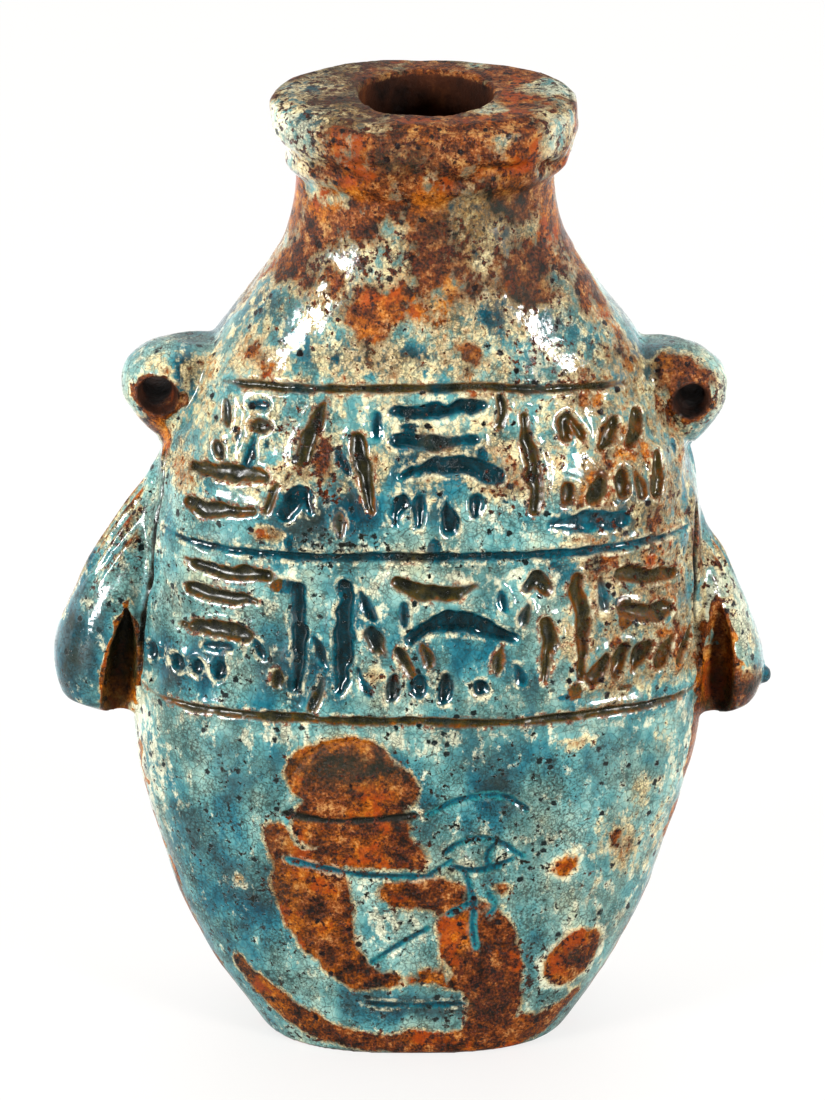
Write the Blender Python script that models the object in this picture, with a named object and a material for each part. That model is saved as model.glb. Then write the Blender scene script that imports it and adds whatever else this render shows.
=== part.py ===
"""An inscribed jar: a flattened, egg-shaped vessel of glazed ware, made in one piece and hollow.

It has a thick oval lip round a round mouth, two pierced lugs on the shoulders and, below them, two
drooping side lobes with a scooped channel. The front carries three ruled lines with two rows of shallow
strokes between them, and a kneeling figure in incised lines below. The back has the ruled lines alone.

Metres, +Z up. The origin is the middle of the foot's underside. The carved front faces -Y.
"""

import math
from collections import namedtuple

import bmesh
import bpy
from mathutils import Vector

MM = 0.001

# Heights: the body reaches from the foot to the narrowest part of the neck, and the lip stands on it
BODY_HEIGHT = 137.2 * MM
NECK_FLARE = 3.2 * MM
LIP_HEIGHT = 9.6 * MM
JAR_HEIGHT = BODY_HEIGHT + NECK_FLARE + LIP_HEIGHT

# Levels of the body's outline, as shares of the body's height
CURVE_SHARE = 0.175
BELLY_SHARE = 0.378
CHEST_SHARE = 0.647
SHOULDER_SHARE = 0.784
COLLAR_SHARE = 0.878
THROAT_SHARE = 0.937

# Widths run from side to side along X, depths from front to back along Y
FOOT_WIDTH = 49.4 * MM
FOOT_DEPTH = 41.5 * MM
FOOT_EDGE = 0.9 * MM
CURVE_WIDTH = 75.0 * MM
CURVE_DEPTH = 46.0 * MM
BELLY_WIDTH = 87.6 * MM
BELLY_DEPTH = 48.0 * MM
CHEST_WIDTH = 82.0 * MM
CHEST_DEPTH = 46.0 * MM
SHOULDER_WIDTH = 68.0 * MM
SHOULDER_DEPTH = 39.0 * MM
COLLAR_WIDTH = 50.5 * MM
COLLAR_DEPTH = 33.5 * MM
THROAT_WIDTH = 41.4 * MM
THROAT_DEPTH = 30.5 * MM
NECK_WIDTH = 38.6 * MM
NECK_DEPTH = 29.6 * MM
LIP_WIDTH = 45.8 * MM
LIP_DEPTH = 34.8 * MM
LIP_EDGE = 1.0 * MM

# Above its belly the jar leans a little, so that neck and mouth stand off the middle of the foot
MOUTH_SHIFT = 1.8 * MM
LEAN_START_SHARE = 0.22
LEAN_END_SHARE = 0.62

# A section is a superellipse: 2 is a true oval, and more is flatter in front with tighter sides
OVAL = 2.0
FOOT_SQUARENESS = 2.65
BODY_SQUARENESS = 2.35
LIP_SQUARENESS = 2.25

# Hollow: a round bore through lip and neck, opening into the cavity inside the wall
BORE_RADIUS = 10.2 * MM
WALL = 6.0 * MM
FLOOR = 7.5 * MM
FLOOR_ROUNDING = 24.0 * MM
FLOOR_FLAT = 0.3

# Pierced lugs, one on each shoulder
LUG_HEIGHT = 16.4 * MM
LUG_DEPTH = 14.0 * MM
LUG_LEVEL_SHARE_LEFT = 0.747
LUG_LEVEL_SHARE_RIGHT = 0.742
LUG_REACH_LEFT = 11.0 * MM
LUG_REACH_RIGHT = 10.4 * MM
LUG_HOLE_RADIUS_LEFT = 2.8 * MM
LUG_HOLE_RADIUS_RIGHT = 2.5 * MM
LUG_HOLE_INSET = 6.4 * MM
LUG_HOLE_RISE = 1.0 * MM

# Side lobes, which droop from under the lugs to the belly
LOBE_TOP_SHARE_LEFT = 0.675
LOBE_TOP_SHARE_RIGHT = 0.61
LOBE_BOTTOM_SHARE = 0.37
LOBE_DEPTH = 17.0 * MM
LOBE_REACH_LEFT = 12.8 * MM
LOBE_REACH_RIGHT = 9.4 * MM
SIDE_ROOT = 4.5 * MM
CHANNEL_RADIUS = 2.6 * MM
CHANNEL_HEIGHT = 19.0 * MM
CHANNEL_OUT = 2.0 * MM
DRIP_RADIUS = 1.4 * MM
DRIP_RISE = 4.5 * MM
DRIP_SUNK = 0.3 * MM

# Carving on the front: ruled lines, lowest first, and strokes in the two rows between them
LINE_SHARES = (0.4206, 0.6137, 0.8025)
LINE_DIPS = (0.8 * MM, 0.8 * MM, 3.0 * MM)
LINE_ENDS = (0.96, 0.945, 0.89)
LINE_WIDTH = 1.4 * MM
LINE_DEPTH = 0.8 * MM
STROKE_WIDTH = 2.5 * MM
STROKE_DEPTH = 0.8 * MM
FIGURE_LINE_WIDTH = 1.3 * MM
FIGURE_LINE_DEPTH = 0.6 * MM

# A groove's floor is narrower than its top, and both its width and its depth run out at its ends
NARROW_FLOOR = 0.3
BROAD_FLOOR = 0.5
END_WIDTH_SHARE = 0.25
END_DEPTH_SHARE = 0.3
CUTTER_LIFT = 0.5 * MM

# How much of a bent stroke, each way from its middle, has its full width
BENT_FULL_SHARE = 0.62

# How finely the forms are faceted
BODY_SEGMENTS = 48
BODY_RINGS = 25
CAVITY_SEGMENTS = 32
CAVITY_RINGS = 14
SIDE_SEGMENTS = 16
SIDE_RINGS = 10
HOLE_SEGMENTS = 16
CHANNEL_SEGMENTS = 12
LINE_STEPS = 13
STROKE_CUTTERS = 5

GLAZE_COLOUR = (0.16, 0.38, 0.41, 1.0)
GLAZE_ROUGHNESS = 0.22
CREASE_ANGLE = 35

FRONT = -1
BACK = 1

Row = namedtuple("Row", "level half")


def clear_scene():
    for obj in list(bpy.data.objects):
        bpy.data.objects.remove(obj)


def smooth_curve(stations, at):
    """Reads a curve through (place, value) stations that never swings past them."""
    places = [place for place, _ in stations]
    values = [value for _, value in stations]
    if at <= places[0]:
        return values[0]
    if at >= places[-1]:
        return values[-1]
    steps = [b - a for a, b in zip(places, places[1:])]
    slopes = [(b - a) / step for a, b, step in zip(values, values[1:], steps)]
    tangents = [slopes[0]]
    for before, after in zip(slopes, slopes[1:]):
        level = before * after <= 0
        tangents.append(0.0 if level else 2 * before * after / (before + after))
    tangents.append(slopes[-1])
    i = max(k for k, place in enumerate(places[:-1]) if place <= at)
    t = (at - places[i]) / steps[i]
    return (
        (1 + 2 * t) * (1 - t) ** 2 * values[i]
        + t * (1 - t) ** 2 * steps[i] * tangents[i]
        + t * t * (3 - 2 * t) * values[i + 1]
        + t * t * (t - 1) * steps[i] * tangents[i + 1]
    )


def smooth_step(low, high, at):
    share = min(1.0, max(0.0, (at - low) / (high - low)))
    return share * share * (3 - 2 * share)


def outline(foot, curve, belly, chest, shoulder, collar, throat, neck, lip):
    """Half sizes of the outer wall at each level, from the foot's edge to the edge of the flat top."""
    lip_bottom = BODY_HEIGHT + NECK_FLARE
    return [
        (0.0, foot / 2 - FOOT_EDGE),
        (FOOT_EDGE, foot / 2),
        (CURVE_SHARE * BODY_HEIGHT, curve / 2),
        (BELLY_SHARE * BODY_HEIGHT, belly / 2),
        (CHEST_SHARE * BODY_HEIGHT, chest / 2),
        (SHOULDER_SHARE * BODY_HEIGHT, shoulder / 2),
        (COLLAR_SHARE * BODY_HEIGHT, collar / 2),
        (THROAT_SHARE * BODY_HEIGHT, throat / 2),
        (BODY_HEIGHT, neck / 2),
        (lip_bottom, lip / 2 - LIP_EDGE),
        (lip_bottom + 0.35 * LIP_HEIGHT, lip / 2),
        (JAR_HEIGHT - 1.5 * LIP_EDGE, lip / 2),
        (JAR_HEIGHT - 0.4 * LIP_EDGE, lip / 2 - 0.3 * LIP_EDGE),
        (JAR_HEIGHT, lip / 2 - LIP_EDGE),
    ]


WIDTHS = outline(
    FOOT_WIDTH,
    CURVE_WIDTH,
    BELLY_WIDTH,
    CHEST_WIDTH,
    SHOULDER_WIDTH,
    COLLAR_WIDTH,
    THROAT_WIDTH,
    NECK_WIDTH,
    LIP_WIDTH,
)
DEPTHS = outline(
    FOOT_DEPTH,
    CURVE_DEPTH,
    BELLY_DEPTH,
    CHEST_DEPTH,
    SHOULDER_DEPTH,
    COLLAR_DEPTH,
    THROAT_DEPTH,
    NECK_DEPTH,
    LIP_DEPTH,
)
SQUARENESS = [
    (0.0, FOOT_SQUARENESS),
    (BELLY_SHARE * BODY_HEIGHT, BODY_SQUARENESS),
    (SHOULDER_SHARE * BODY_HEIGHT, BODY_SQUARENESS),
    (BODY_HEIGHT, OVAL),
    (BODY_HEIGHT + NECK_FLARE, LIP_SQUARENESS),
]


def section(height):
    """Half width, half depth and squareness of the outer wall at a height."""
    return smooth_curve(WIDTHS, height), smooth_curve(DEPTHS, height), smooth_curve(SQUARENESS, height)


def middle(height):
    """How far the middle of the section stands off the middle of the foot."""
    return MOUTH_SHIFT * smooth_step(LEAN_START_SHARE * BODY_HEIGHT, LEAN_END_SHARE * BODY_HEIGHT, height)


def superellipse_ring(x, y, half_width, half_depth, squareness, height, count):
    ring = []
    for k in range(count):
        angle = 2 * math.pi * k / count
        c, s = math.cos(angle), math.sin(angle)
        across = math.copysign(abs(c) ** (2 / squareness), c) * half_width
        back = math.copysign(abs(s) ** (2 / squareness), s) * half_depth
        ring.append(Vector((x + across, y + back, height)))
    return ring


def add_object(name, bm):
    bmesh.ops.recalc_face_normals(bm, faces=bm.faces)
    mesh = bpy.data.meshes.new(name)
    bm.to_mesh(mesh)
    bm.free()
    obj = bpy.data.objects.new(name, mesh)
    bpy.context.scene.collection.objects.link(obj)
    return obj


def add_loft(bm, rings):
    """A closed skin over rings of equally many points, flat at both ends."""
    loops = [[bm.verts.new(point) for point in ring] for ring in rings]
    for lower, upper in zip(loops, loops[1:]):
        for k in range(len(lower)):
            after = (k + 1) % len(lower)
            bm.faces.new((lower[k], lower[after], upper[after], upper[k]))
    bm.faces.new(list(reversed(loops[0])))
    bm.faces.new(loops[-1])


def loft(name, rings):
    bm = bmesh.new()
    add_loft(bm, rings)
    return add_object(name, bm)


def spread(low, high, count):
    return [low + (high - low) * k / (count - 1) for k in range(count)]


def body_levels():
    """Ring heights: even up to the neck, with the lip's own levels above and the foot's edge below."""
    even = spread(0.0, BODY_HEIGHT, BODY_RINGS)[1:]
    lip = [height for height, _ in WIDTHS if height > BODY_HEIGHT]
    return [0.0, FOOT_EDGE, *even, *lip]


def make_body():
    rings = []
    for height in body_levels():
        rings.append(superellipse_ring(middle(height), 0, *section(height), height, BODY_SEGMENTS))
    return loft("jar", rings)


def make_cavity():
    """The hollow: the outer form less the wall, drawn in to a round bore through neck and lip."""
    spring = SHOULDER_SHARE * BODY_HEIGHT
    bore = (BORE_RADIUS, BORE_RADIUS, OVAL)
    rings = []
    for height in spread(FLOOR, BODY_HEIGHT, CAVITY_RINGS):
        half_width, half_depth, squareness = section(height)
        floor_curve = math.sqrt(min(1.0, (height - FLOOR) / FLOOR_ROUNDING + FLOOR_FLAT))
        hollow = ((half_width - WALL) * floor_curve, (half_depth - WALL) * floor_curve, squareness)
        narrowing = smooth_step(spring, BODY_HEIGHT, height)
        inner = [wide + (narrow - wide) * narrowing for wide, narrow in zip(hollow, bore)]
        rings.append(superellipse_ring(middle(height), 0, *inner, height, CAVITY_SEGMENTS))
    for height in (JAR_HEIGHT - LIP_EDGE, JAR_HEIGHT + LIP_HEIGHT):
        rings.append(superellipse_ring(middle(height), 0, *bore, height, CAVITY_SEGMENTS))
    return loft("cavity_cutter", rings)


def wall_side(side, height):
    """The place along X of the wall's left (-1) or right (1) side."""
    return middle(height) + side * section(height)[0]


def side_form(name, side, bottom, top, reach, reach_shape, depth, depth_shape):
    """A form on the jar's side, whose shapes say how much of its reach and depth it has at each level."""
    rings = []
    for k in range(SIDE_RINGS + 1):
        share = 0.5 - 0.5 * math.cos(math.pi * k / SIDE_RINGS)
        height = bottom + (top - bottom) * share
        out = reach * smooth_curve(reach_shape, share)
        half_width = (out + SIDE_ROOT) / 2
        x = wall_side(side, height) + side * (out - half_width)
        half_depth = depth / 2 * smooth_curve(depth_shape, share)
        rings.append(superellipse_ring(x, 0, half_width, half_depth, OVAL, height, SIDE_SEGMENTS))
    return loft(name, rings)


def make_lug(name, side, level_share, reach):
    """Full and round above, drawn in to the wall below."""
    reach_shape = [(0.0, 0.05), (0.2, 0.5), (0.5, 0.9), (0.75, 1.0), (0.93, 0.86), (1.0, 0.62)]
    depth_shape = [(0.0, 0.3), (0.3, 0.8), (0.6, 1.0), (0.88, 0.8), (1.0, 0.45)]
    bottom = level_share * BODY_HEIGHT - LUG_HEIGHT / 2
    return side_form(name, side, bottom, bottom + LUG_HEIGHT, reach, reach_shape, LUG_DEPTH, depth_shape)


def lobe_bottom():
    return LOBE_BOTTOM_SHARE * BODY_HEIGHT


def make_lobe(name, side, top_share, reach):
    """Widens downwards from a thin top, fullest just above its rounded lower end."""
    reach_shape = [(0.0, 0.6), (0.05, 0.88), (0.2, 1.0), (0.46, 0.8), (0.74, 0.4), (0.88, 0.14), (1.0, 0.0)]
    depth_shape = [(0.0, 0.6), (0.05, 0.85), (0.2, 1.0), (0.6, 0.75), (1.0, 0.15)]
    top = top_share * BODY_HEIGHT
    return side_form(name, side, lobe_bottom(), top, reach, reach_shape, LOBE_DEPTH, depth_shape)


def make_drip():
    """A bead of glaze that ran down to the tip of the right lobe."""
    height = lobe_bottom() + DRIP_RISE
    x = wall_side(1, height) + LOBE_REACH_RIGHT - DRIP_SUNK
    bm = bmesh.new()
    bmesh.ops.create_icosphere(bm, subdivisions=2, radius=DRIP_RADIUS)
    bmesh.ops.translate(bm, verts=bm.verts, vec=(x, 0, height))
    return add_object("drip", bm)


def make_hole(name, side, level_share, reach, radius):
    """A round hole from front to back through a lug."""
    height = level_share * BODY_HEIGHT + LUG_HOLE_RISE
    x = wall_side(side, height) + side * (reach - LUG_HOLE_INSET)
    bm = bmesh.new()
    bmesh.ops.create_cone(
        bm,
        cap_ends=True,
        segments=HOLE_SEGMENTS,
        radius1=radius,
        radius2=radius,
        depth=2 * LUG_DEPTH,
    )
    for vert in bm.verts:
        vert.co = Vector((x + vert.co.x, -vert.co.z, height + vert.co.y))
    return add_object(name, bm)


def make_channel(name, side):
    """A scoop in the front of a lobe, beside the wall, deepening down to its open lower end."""
    rings = []
    for share in (-0.35, -0.1, 0.3, 0.6, 0.85, 1.0):
        height = lobe_bottom() + share * CHANNEL_HEIGHT
        radius = CHANNEL_RADIUS * max(0.12, 1 - max(0.0, share) ** 2)
        x = wall_side(side, height) + side * CHANNEL_OUT
        y = 0.35 * CHANNEL_RADIUS * (1 + share) - LOBE_DEPTH / 2
        rings.append(superellipse_ring(x, y, radius, 1.5 * radius, OVAL, height, CHANNEL_SEGMENTS))
    return loft(name, rings)


def on_wall(across, height, face):
    """A point of the outer wall and its outward normal; across is the share of the half width."""

    def place(u, z):
        half_width, half_depth, squareness = section(z)
        inside = max(0.0, 1 - abs(u) ** squareness)
        return Vector((middle(z) + u * half_width, face * half_depth * inside ** (1 / squareness), z))

    step = 0.004
    along_x = place(across + step, height) - place(across - step, height)
    along_z = place(across, height + step * BODY_HEIGHT) - place(across, height - step * BODY_HEIGHT)
    normal = along_x.cross(along_z).normalized()
    return place(across, height), normal if normal.y * face > 0 else -normal


def add_groove(bm, route, width, depth, floor_share, face=FRONT):
    """A cutter for a groove along (across, height) points, full between its ends and drawn in at them."""
    wall = [on_wall(across, height, face) for across, height in route]
    rings = []
    last = len(wall) - 1
    for k, (point, normal) in enumerate(wall):
        along = (wall[min(k + 1, last)][0] - wall[max(k - 1, 0)][0]).normalized()
        beside = normal.cross(along).normalized()
        at_end = k in (0, last)
        half = width / 2 * (END_WIDTH_SHARE if at_end else 1.0)
        deep = depth * (END_DEPTH_SHARE if at_end else 1.0)
        half_floor = half * floor_share
        half_top = half + (half - half_floor) * CUTTER_LIFT / depth
        top = point + normal * CUTTER_LIFT
        floor = point - normal * deep
        rings.append(
            [
                top - beside * half_top,
                top + beside * half_top,
                floor + beside * half_floor,
                floor - beside * half_floor,
            ]
        )
    add_loft(bm, rings)


def bar(row, across, rise, length, lean=0.0, bend=0.0):
    """The route of one stroke about its middle: rise, length and bend are shares of half the row's height."""
    half_width = section(row.level)[0]
    direction = Vector((math.cos(math.radians(lean)), math.sin(math.radians(lean))))
    sideways = Vector((-direction.y, direction.x))
    reach = row.half * length / 2
    full = BENT_FULL_SHARE * reach if bend else reach - min(0.6 * reach, 0.6 * STROKE_WIDTH)
    crown = [0.0] if bend else []
    route = []
    for along in (-reach, -full, *crown, full, reach):
        bow = row.half * bend * (1 - (along / reach) ** 2)
        offset = direction * along + sideways * bow
        route.append((across + offset.x / half_width, row.level + row.half * rise + offset.y))
    return route


def tally(row, across, rise, count, pitch, length, lean):
    """Leaning strokes side by side."""
    step = pitch * row.half / section(row.level)[0]
    start = across - (count - 1) * step / 2
    return [bar(row, start + k * step, rise, length, lean) for k in range(count)]


def stack(row, across, rise, count, pitch, length, lean=0.0):
    """Lying strokes one above another, each a little shorter than the one above."""
    top = rise + (count - 1) * pitch / 2
    return [bar(row, across, top - k * pitch, length * (1 - 0.12 * k), lean) for k in range(count)]


def upper_row(row):
    """The strokes between the upper two lines, from left to right."""
    return [
        bar(row, -0.68, 0.42, 0.35, 10),
        *stack(row, -0.75, -0.36, 2, 0.44, 1.0, 5),
        bar(row, -0.46, 0.46, 0.86, 80),
        bar(row, -0.47, -0.5, 0.56, 4, bend=0.2),
        bar(row, -0.23, 0.0, 1.05, 108),
        *stack(row, 0.06, 0.54, 2, 0.32, 1.3),
        bar(row, 0.09, 0.04, 1.36, bend=0.16),
        *tally(row, -0.01, -0.46, 3, 0.28, 0.5, 85),
        bar(row, 0.2, -0.4, 0.36, 70),
        bar(row, 0.41, 0.08, 1.25, 85),
        bar(row, 0.6, 0.36, 0.46, bend=0.22),
        *tally(row, 0.79, 0.32, 2, 0.3, 0.56, 55),
        bar(row, 0.87, -0.26, 0.6, 74),
        *tally(row, 0.64, -0.3, 3, 0.28, 0.4, 70),
        bar(row, 0.59, -0.68, 1.0, -5),
    ]


def lower_row(row):
    """The strokes between the lower two lines, from left to right."""
    return [
        *stack(row, -0.71, 0.52, 2, 0.3, 1.1),
        bar(row, -0.74, -0.07, 0.95, 4),
        *tally(row, -0.82, -0.55, 4, 0.26, 0.28, 86),
        bar(row, -0.44, -0.03, 1.4, 92),
        bar(row, -0.28, 0.02, 1.6, 92),
        bar(row, -0.16, -0.03, 0.56, 115),
        bar(row, 0.04, 0.66, 1.1, bend=-0.1),
        bar(row, 0.13, 0.0, 1.36, bend=0.24),
        *tally(row, -0.01, -0.58, 3, 0.3, 0.38, 86),
        bar(row, 0.21, -0.6, 0.3, 86),
        bar(row, 0.41, 0.56, 0.4, bend=0.12),
        bar(row, 0.43, -0.2, 0.9, 89),
        bar(row, 0.55, 0.05, 1.4, 89),
        *stack(row, 0.79, 0.36, 2, 0.42, 0.85, -11),
        *tally(row, 0.77, -0.44, 5, 0.25, 0.52, 64),
    ]


def figure_lines():
    """A kneeling figure holding a leaf, as routes of (across, share of the height up to the lowest line)."""
    routes = {
        "crown": [(-0.46, 0.77), (-0.42, 0.87), (-0.3, 0.94), (-0.16, 0.94), (-0.05, 0.87), (0.0, 0.77)],
        "collar": [(-0.47, 0.725), (-0.23, 0.705), (0.01, 0.735)],
        "raised_arm": [(0.04, 0.735), (0.16, 0.785), (0.3, 0.795), (0.4, 0.735)],
        "belt": [(-0.48, 0.585), (-0.2, 0.55), (0.08, 0.555)],
        "leaf_top": [(0.11, 0.62), (0.17, 0.655), (0.27, 0.66), (0.36, 0.625)],
        "leaf_bottom": [(0.13, 0.585), (0.21, 0.565), (0.3, 0.57), (0.38, 0.595)],
        "stem": [(0.22, 0.53), (0.25, 0.46), (0.25, 0.4), (0.275, 0.33)],
        "forearm": [(-0.18, 0.285), (-0.06, 0.345), (0.07, 0.4)],
        "seat": [(-0.24, 0.165), (0.01, 0.155), (0.26, 0.165)],
    }
    lowest_line = LINE_SHARES[0] * BODY_HEIGHT
    return [[(across, share * lowest_line) for across, share in route] for route in routes.values()]


def ruled_line(share, dip, end):
    """One line across the face, drawn by hand so that it dips a little at its ends."""
    height = share * BODY_HEIGHT
    return [(u, height - dip * u * u) for u in spread(-end, end, LINE_STEPS)]


def make_line_cutter():
    bm = bmesh.new()
    for face in (FRONT, BACK):
        for line in zip(LINE_SHARES, LINE_DIPS, LINE_ENDS):
            add_groove(bm, ruled_line(*line), LINE_WIDTH, LINE_DEPTH, NARROW_FLOOR, face)
    return add_object("line_cutter", bm)


def make_stroke_cutters():
    """Neighbouring strokes go to different cutters, so that no cutter meets itself."""
    lines = [share * BODY_HEIGHT for share in LINE_SHARES]
    lower, upper = (Row((low + high) / 2, (high - low) / 2) for low, high in zip(lines, lines[1:]))
    routes = upper_row(upper) + lower_row(lower)
    cutters = []
    for first in range(STROKE_CUTTERS):
        bm = bmesh.new()
        for route in routes[first::STROKE_CUTTERS]:
            add_groove(bm, route, STROKE_WIDTH, STROKE_DEPTH, BROAD_FLOOR)
        cutters.append(add_object(f"stroke_cutter_{first + 1}", bm))
    return cutters


def make_figure_cutter():
    bm = bmesh.new()
    for route in figure_lines():
        add_groove(bm, route, FIGURE_LINE_WIDTH, FIGURE_LINE_DEPTH, NARROW_FLOOR)
    return add_object("figure_cutter", bm)


def combine(target, helper, operation):
    helper.hide_render = True
    helper.display_type = "WIRE"
    modifier = target.modifiers.new(helper.name, "BOOLEAN")
    modifier.operation = operation
    modifier.solver = "EXACT"
    modifier.object = helper


def glaze_material():
    material = bpy.data.materials.new("turquoise_glaze")
    material.use_nodes = True
    shader = material.node_tree.nodes["Principled BSDF"]
    shader.inputs["Base Color"].default_value = GLAZE_COLOUR
    shader.inputs["Roughness"].default_value = GLAZE_ROUGHNESS
    shader.inputs["Metallic"].default_value = 0.0
    return material


def main():
    clear_scene()
    jar = make_body()
    added = [
        make_lug("lug_left", -1, LUG_LEVEL_SHARE_LEFT, LUG_REACH_LEFT),
        make_lug("lug_right", 1, LUG_LEVEL_SHARE_RIGHT, LUG_REACH_RIGHT),
        make_lobe("lobe_left", -1, LOBE_TOP_SHARE_LEFT, LOBE_REACH_LEFT),
        make_lobe("lobe_right", 1, LOBE_TOP_SHARE_RIGHT, LOBE_REACH_RIGHT),
        make_drip(),
    ]
    cut = [
        make_cavity(),
        make_hole("hole_cutter_left", -1, LUG_LEVEL_SHARE_LEFT, LUG_REACH_LEFT, LUG_HOLE_RADIUS_LEFT),
        make_hole("hole_cutter_right", 1, LUG_LEVEL_SHARE_RIGHT, LUG_REACH_RIGHT, LUG_HOLE_RADIUS_RIGHT),
        make_channel("channel_cutter_left", -1),
        make_channel("channel_cutter_right", 1),
        make_line_cutter(),
        *make_stroke_cutters(),
        make_figure_cutter(),
    ]
    for helper in added:
        combine(jar, helper, "UNION")
    for helper in cut:
        combine(jar, helper, "DIFFERENCE")
    jar.data.materials.append(glaze_material())
    jar.data.shade_smooth()
    jar.data.set_sharp_from_angle(angle=math.radians(CREASE_ANGLE))


main()
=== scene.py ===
"""The looks of the inscribed jar: its worn and crackled glaze, its carving and stains, and a plain studio.

One piece, glazed_jar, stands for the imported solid. Its form repeats the solid's own rules at a finer grain,
is fused into one skin, carved, and then dressed by a material that reads what the carving left behind.
"""

import itertools
import math
from collections import namedtuple

import bmesh
import bpy
import numpy as np
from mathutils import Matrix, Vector


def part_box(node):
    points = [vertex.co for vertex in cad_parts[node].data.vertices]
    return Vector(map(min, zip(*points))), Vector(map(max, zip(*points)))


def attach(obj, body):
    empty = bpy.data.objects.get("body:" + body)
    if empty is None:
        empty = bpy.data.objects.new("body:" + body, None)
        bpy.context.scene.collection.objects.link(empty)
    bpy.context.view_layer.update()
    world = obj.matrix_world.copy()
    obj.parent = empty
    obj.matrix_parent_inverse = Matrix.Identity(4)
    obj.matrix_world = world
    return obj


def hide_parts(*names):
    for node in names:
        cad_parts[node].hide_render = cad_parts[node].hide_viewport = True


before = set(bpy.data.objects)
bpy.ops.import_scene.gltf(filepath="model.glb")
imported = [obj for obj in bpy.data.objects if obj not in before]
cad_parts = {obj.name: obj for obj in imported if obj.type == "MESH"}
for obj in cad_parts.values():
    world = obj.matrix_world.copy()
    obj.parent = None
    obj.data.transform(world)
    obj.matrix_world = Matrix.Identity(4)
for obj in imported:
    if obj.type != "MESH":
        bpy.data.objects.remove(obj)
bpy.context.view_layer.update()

FOOT_CORNER, LIP_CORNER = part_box("jar")

# The jar stands 150 mm tall. Sizes below are its own millimetres, and MM turns them into the frame's metres
JAR_TOP = 150.0
MM = (LIP_CORNER.z - FOOT_CORNER.z) / JAR_TOP

# The outer wall: height, half width from side to side, half depth from front to back
BODY_TOP = 137.2
LIP_BOTTOM = 140.4
WALL_OUTLINE = [
    (0.0, 23.8, 19.85),
    (0.9, 24.7, 20.75),
    (24.0, 37.5, 23.0),
    (51.9, 43.8, 24.0),
    (88.8, 41.0, 23.0),
    (107.6, 34.0, 19.5),
    (120.5, 25.25, 16.75),
    (128.6, 20.7, 15.25),
    (BODY_TOP, 19.3, 14.8),
    (LIP_BOTTOM, 21.9, 16.4),
    (143.8, 22.9, 17.4),
    (148.5, 22.9, 17.4),
    (149.6, 22.6, 17.1),
    (JAR_TOP, 21.9, 16.4),
]
# How square a section is at a height: 2 is a true oval
SQUARENESS = [(0.0, 2.65), (51.9, 2.35), (107.6, 2.35), (BODY_TOP, 2.0), (LIP_BOTTOM, 2.25)]
LEAN = 1.8
LEAN_START = 30.2
LEAN_END = 85.1

# The hollow inside
WALL = 6.0
BORE = 10.2
FLOOR = 7.5
FLOOR_ROUNDING = 24.0
FLOOR_FLAT = 0.3
SHOULDER = 107.6

# Lugs and lobes. Where the two sides differ, -1 is the left one and 1 the right
SIDES = (-1, 1)
SIDE_ROOT = 4.5
LUG_DEPTH = 14.0
LUG_HEIGHT = 16.4
LUG_LEVELS = {-1: 102.5, 1: 101.8}
LUG_REACHES = {-1: 11.0, 1: 10.4}
LUG_HOLES = {-1: 2.8, 1: 2.5}
LUG_HOLE_INSET = 6.4
LUG_HOLE_RISE = 1.0
LOBE_DEPTH = 17.0
LOBE_BOTTOM = 50.8
LOBE_TOPS = {-1: 92.6, 1: 83.7}
LOBE_REACHES = {-1: 12.8, 1: 9.4}
CHANNEL_RADIUS = 2.6
CHANNEL_HEIGHT = 19.0
CHANNEL_OUT = 2.0
DRIP_RADIUS = 1.4
DRIP_RISE = 4.5

FRONT = -1
BACK = 1

# Carving: ruled lines from the lowest up, with the strokes' rows between them. Brown says what fills a
# groove: teal glaze at 0, rust to olive at 1, darker above 1 and paler below 0
LINE_LEVELS = (57.7, 84.2, 110.1)
LINE_DIPS = (0.8, 0.8, 3.0)
LINE_ENDS = (0.96, 0.945, 0.89)
LINE_BROWNS = {FRONT: (0.7, 0.35, 0.6), BACK: (0.5, 0.4, 0.5)}
LINE_WIDTH = 1.3
LINE_DEPTH = 0.75
STROKE_WIDTH = 2.5
STROKE_DEPTH = 0.75
STROKE_SWAY = 1.4
LINE_SWAY = 0.8
NICK_WIDTH = 1.7
NICK_DEPTH = 0.32
NICK_ROOM = 2.9
NICK_TRIES = 90
NICK_SEEDS = (31, 32)
FIGURE_WIDTH = 1.0
FIGURE_DEPTH = 0.35
SEAM_WIDTH = 1.2
SEAM_DEPTH = 0.9
RAISED_LIP = 0.36
GROOVE_REACH = 3.0

# Unevenness as waves: height, the distance over which it changes, and seed
SKIN_WAVES = ((0.7, 17.0, 3), (0.3, 6.0, 4), (0.14, 2.2, 5))
LIP_WAVES = ((0.4, 2.6, 6), (0.5, 5.5, 19))
ROW_WAVES = ((1.0, 4.2, 14), (0.8, 8.0, 15))
GROOVE_EDGE_WAVES = ((0.9, 1.9, 1), (0.3, 0.7, 2))
RAGGED_WAVES = ((2.4, 2.4, 13), (1.2, 0.9, 16))

# Grit on the lip and foot
CRUMB_RADIUS = 0.33
CRUMBS_PER_SQUARE_METRE = 60_000.0
CRUMB_SEED = 7

# The skin: its grain, the triangles that it may have, and the share of them that is kept inside
VOXEL = 0.4
MOST_TRIANGLES = 186_000
INSIDE_SHARE = 0.12
RING_POINTS = 144

Groove = namedtuple("Groove", "path half depth brown")
Row = namedtuple("Row", "level half")


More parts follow.
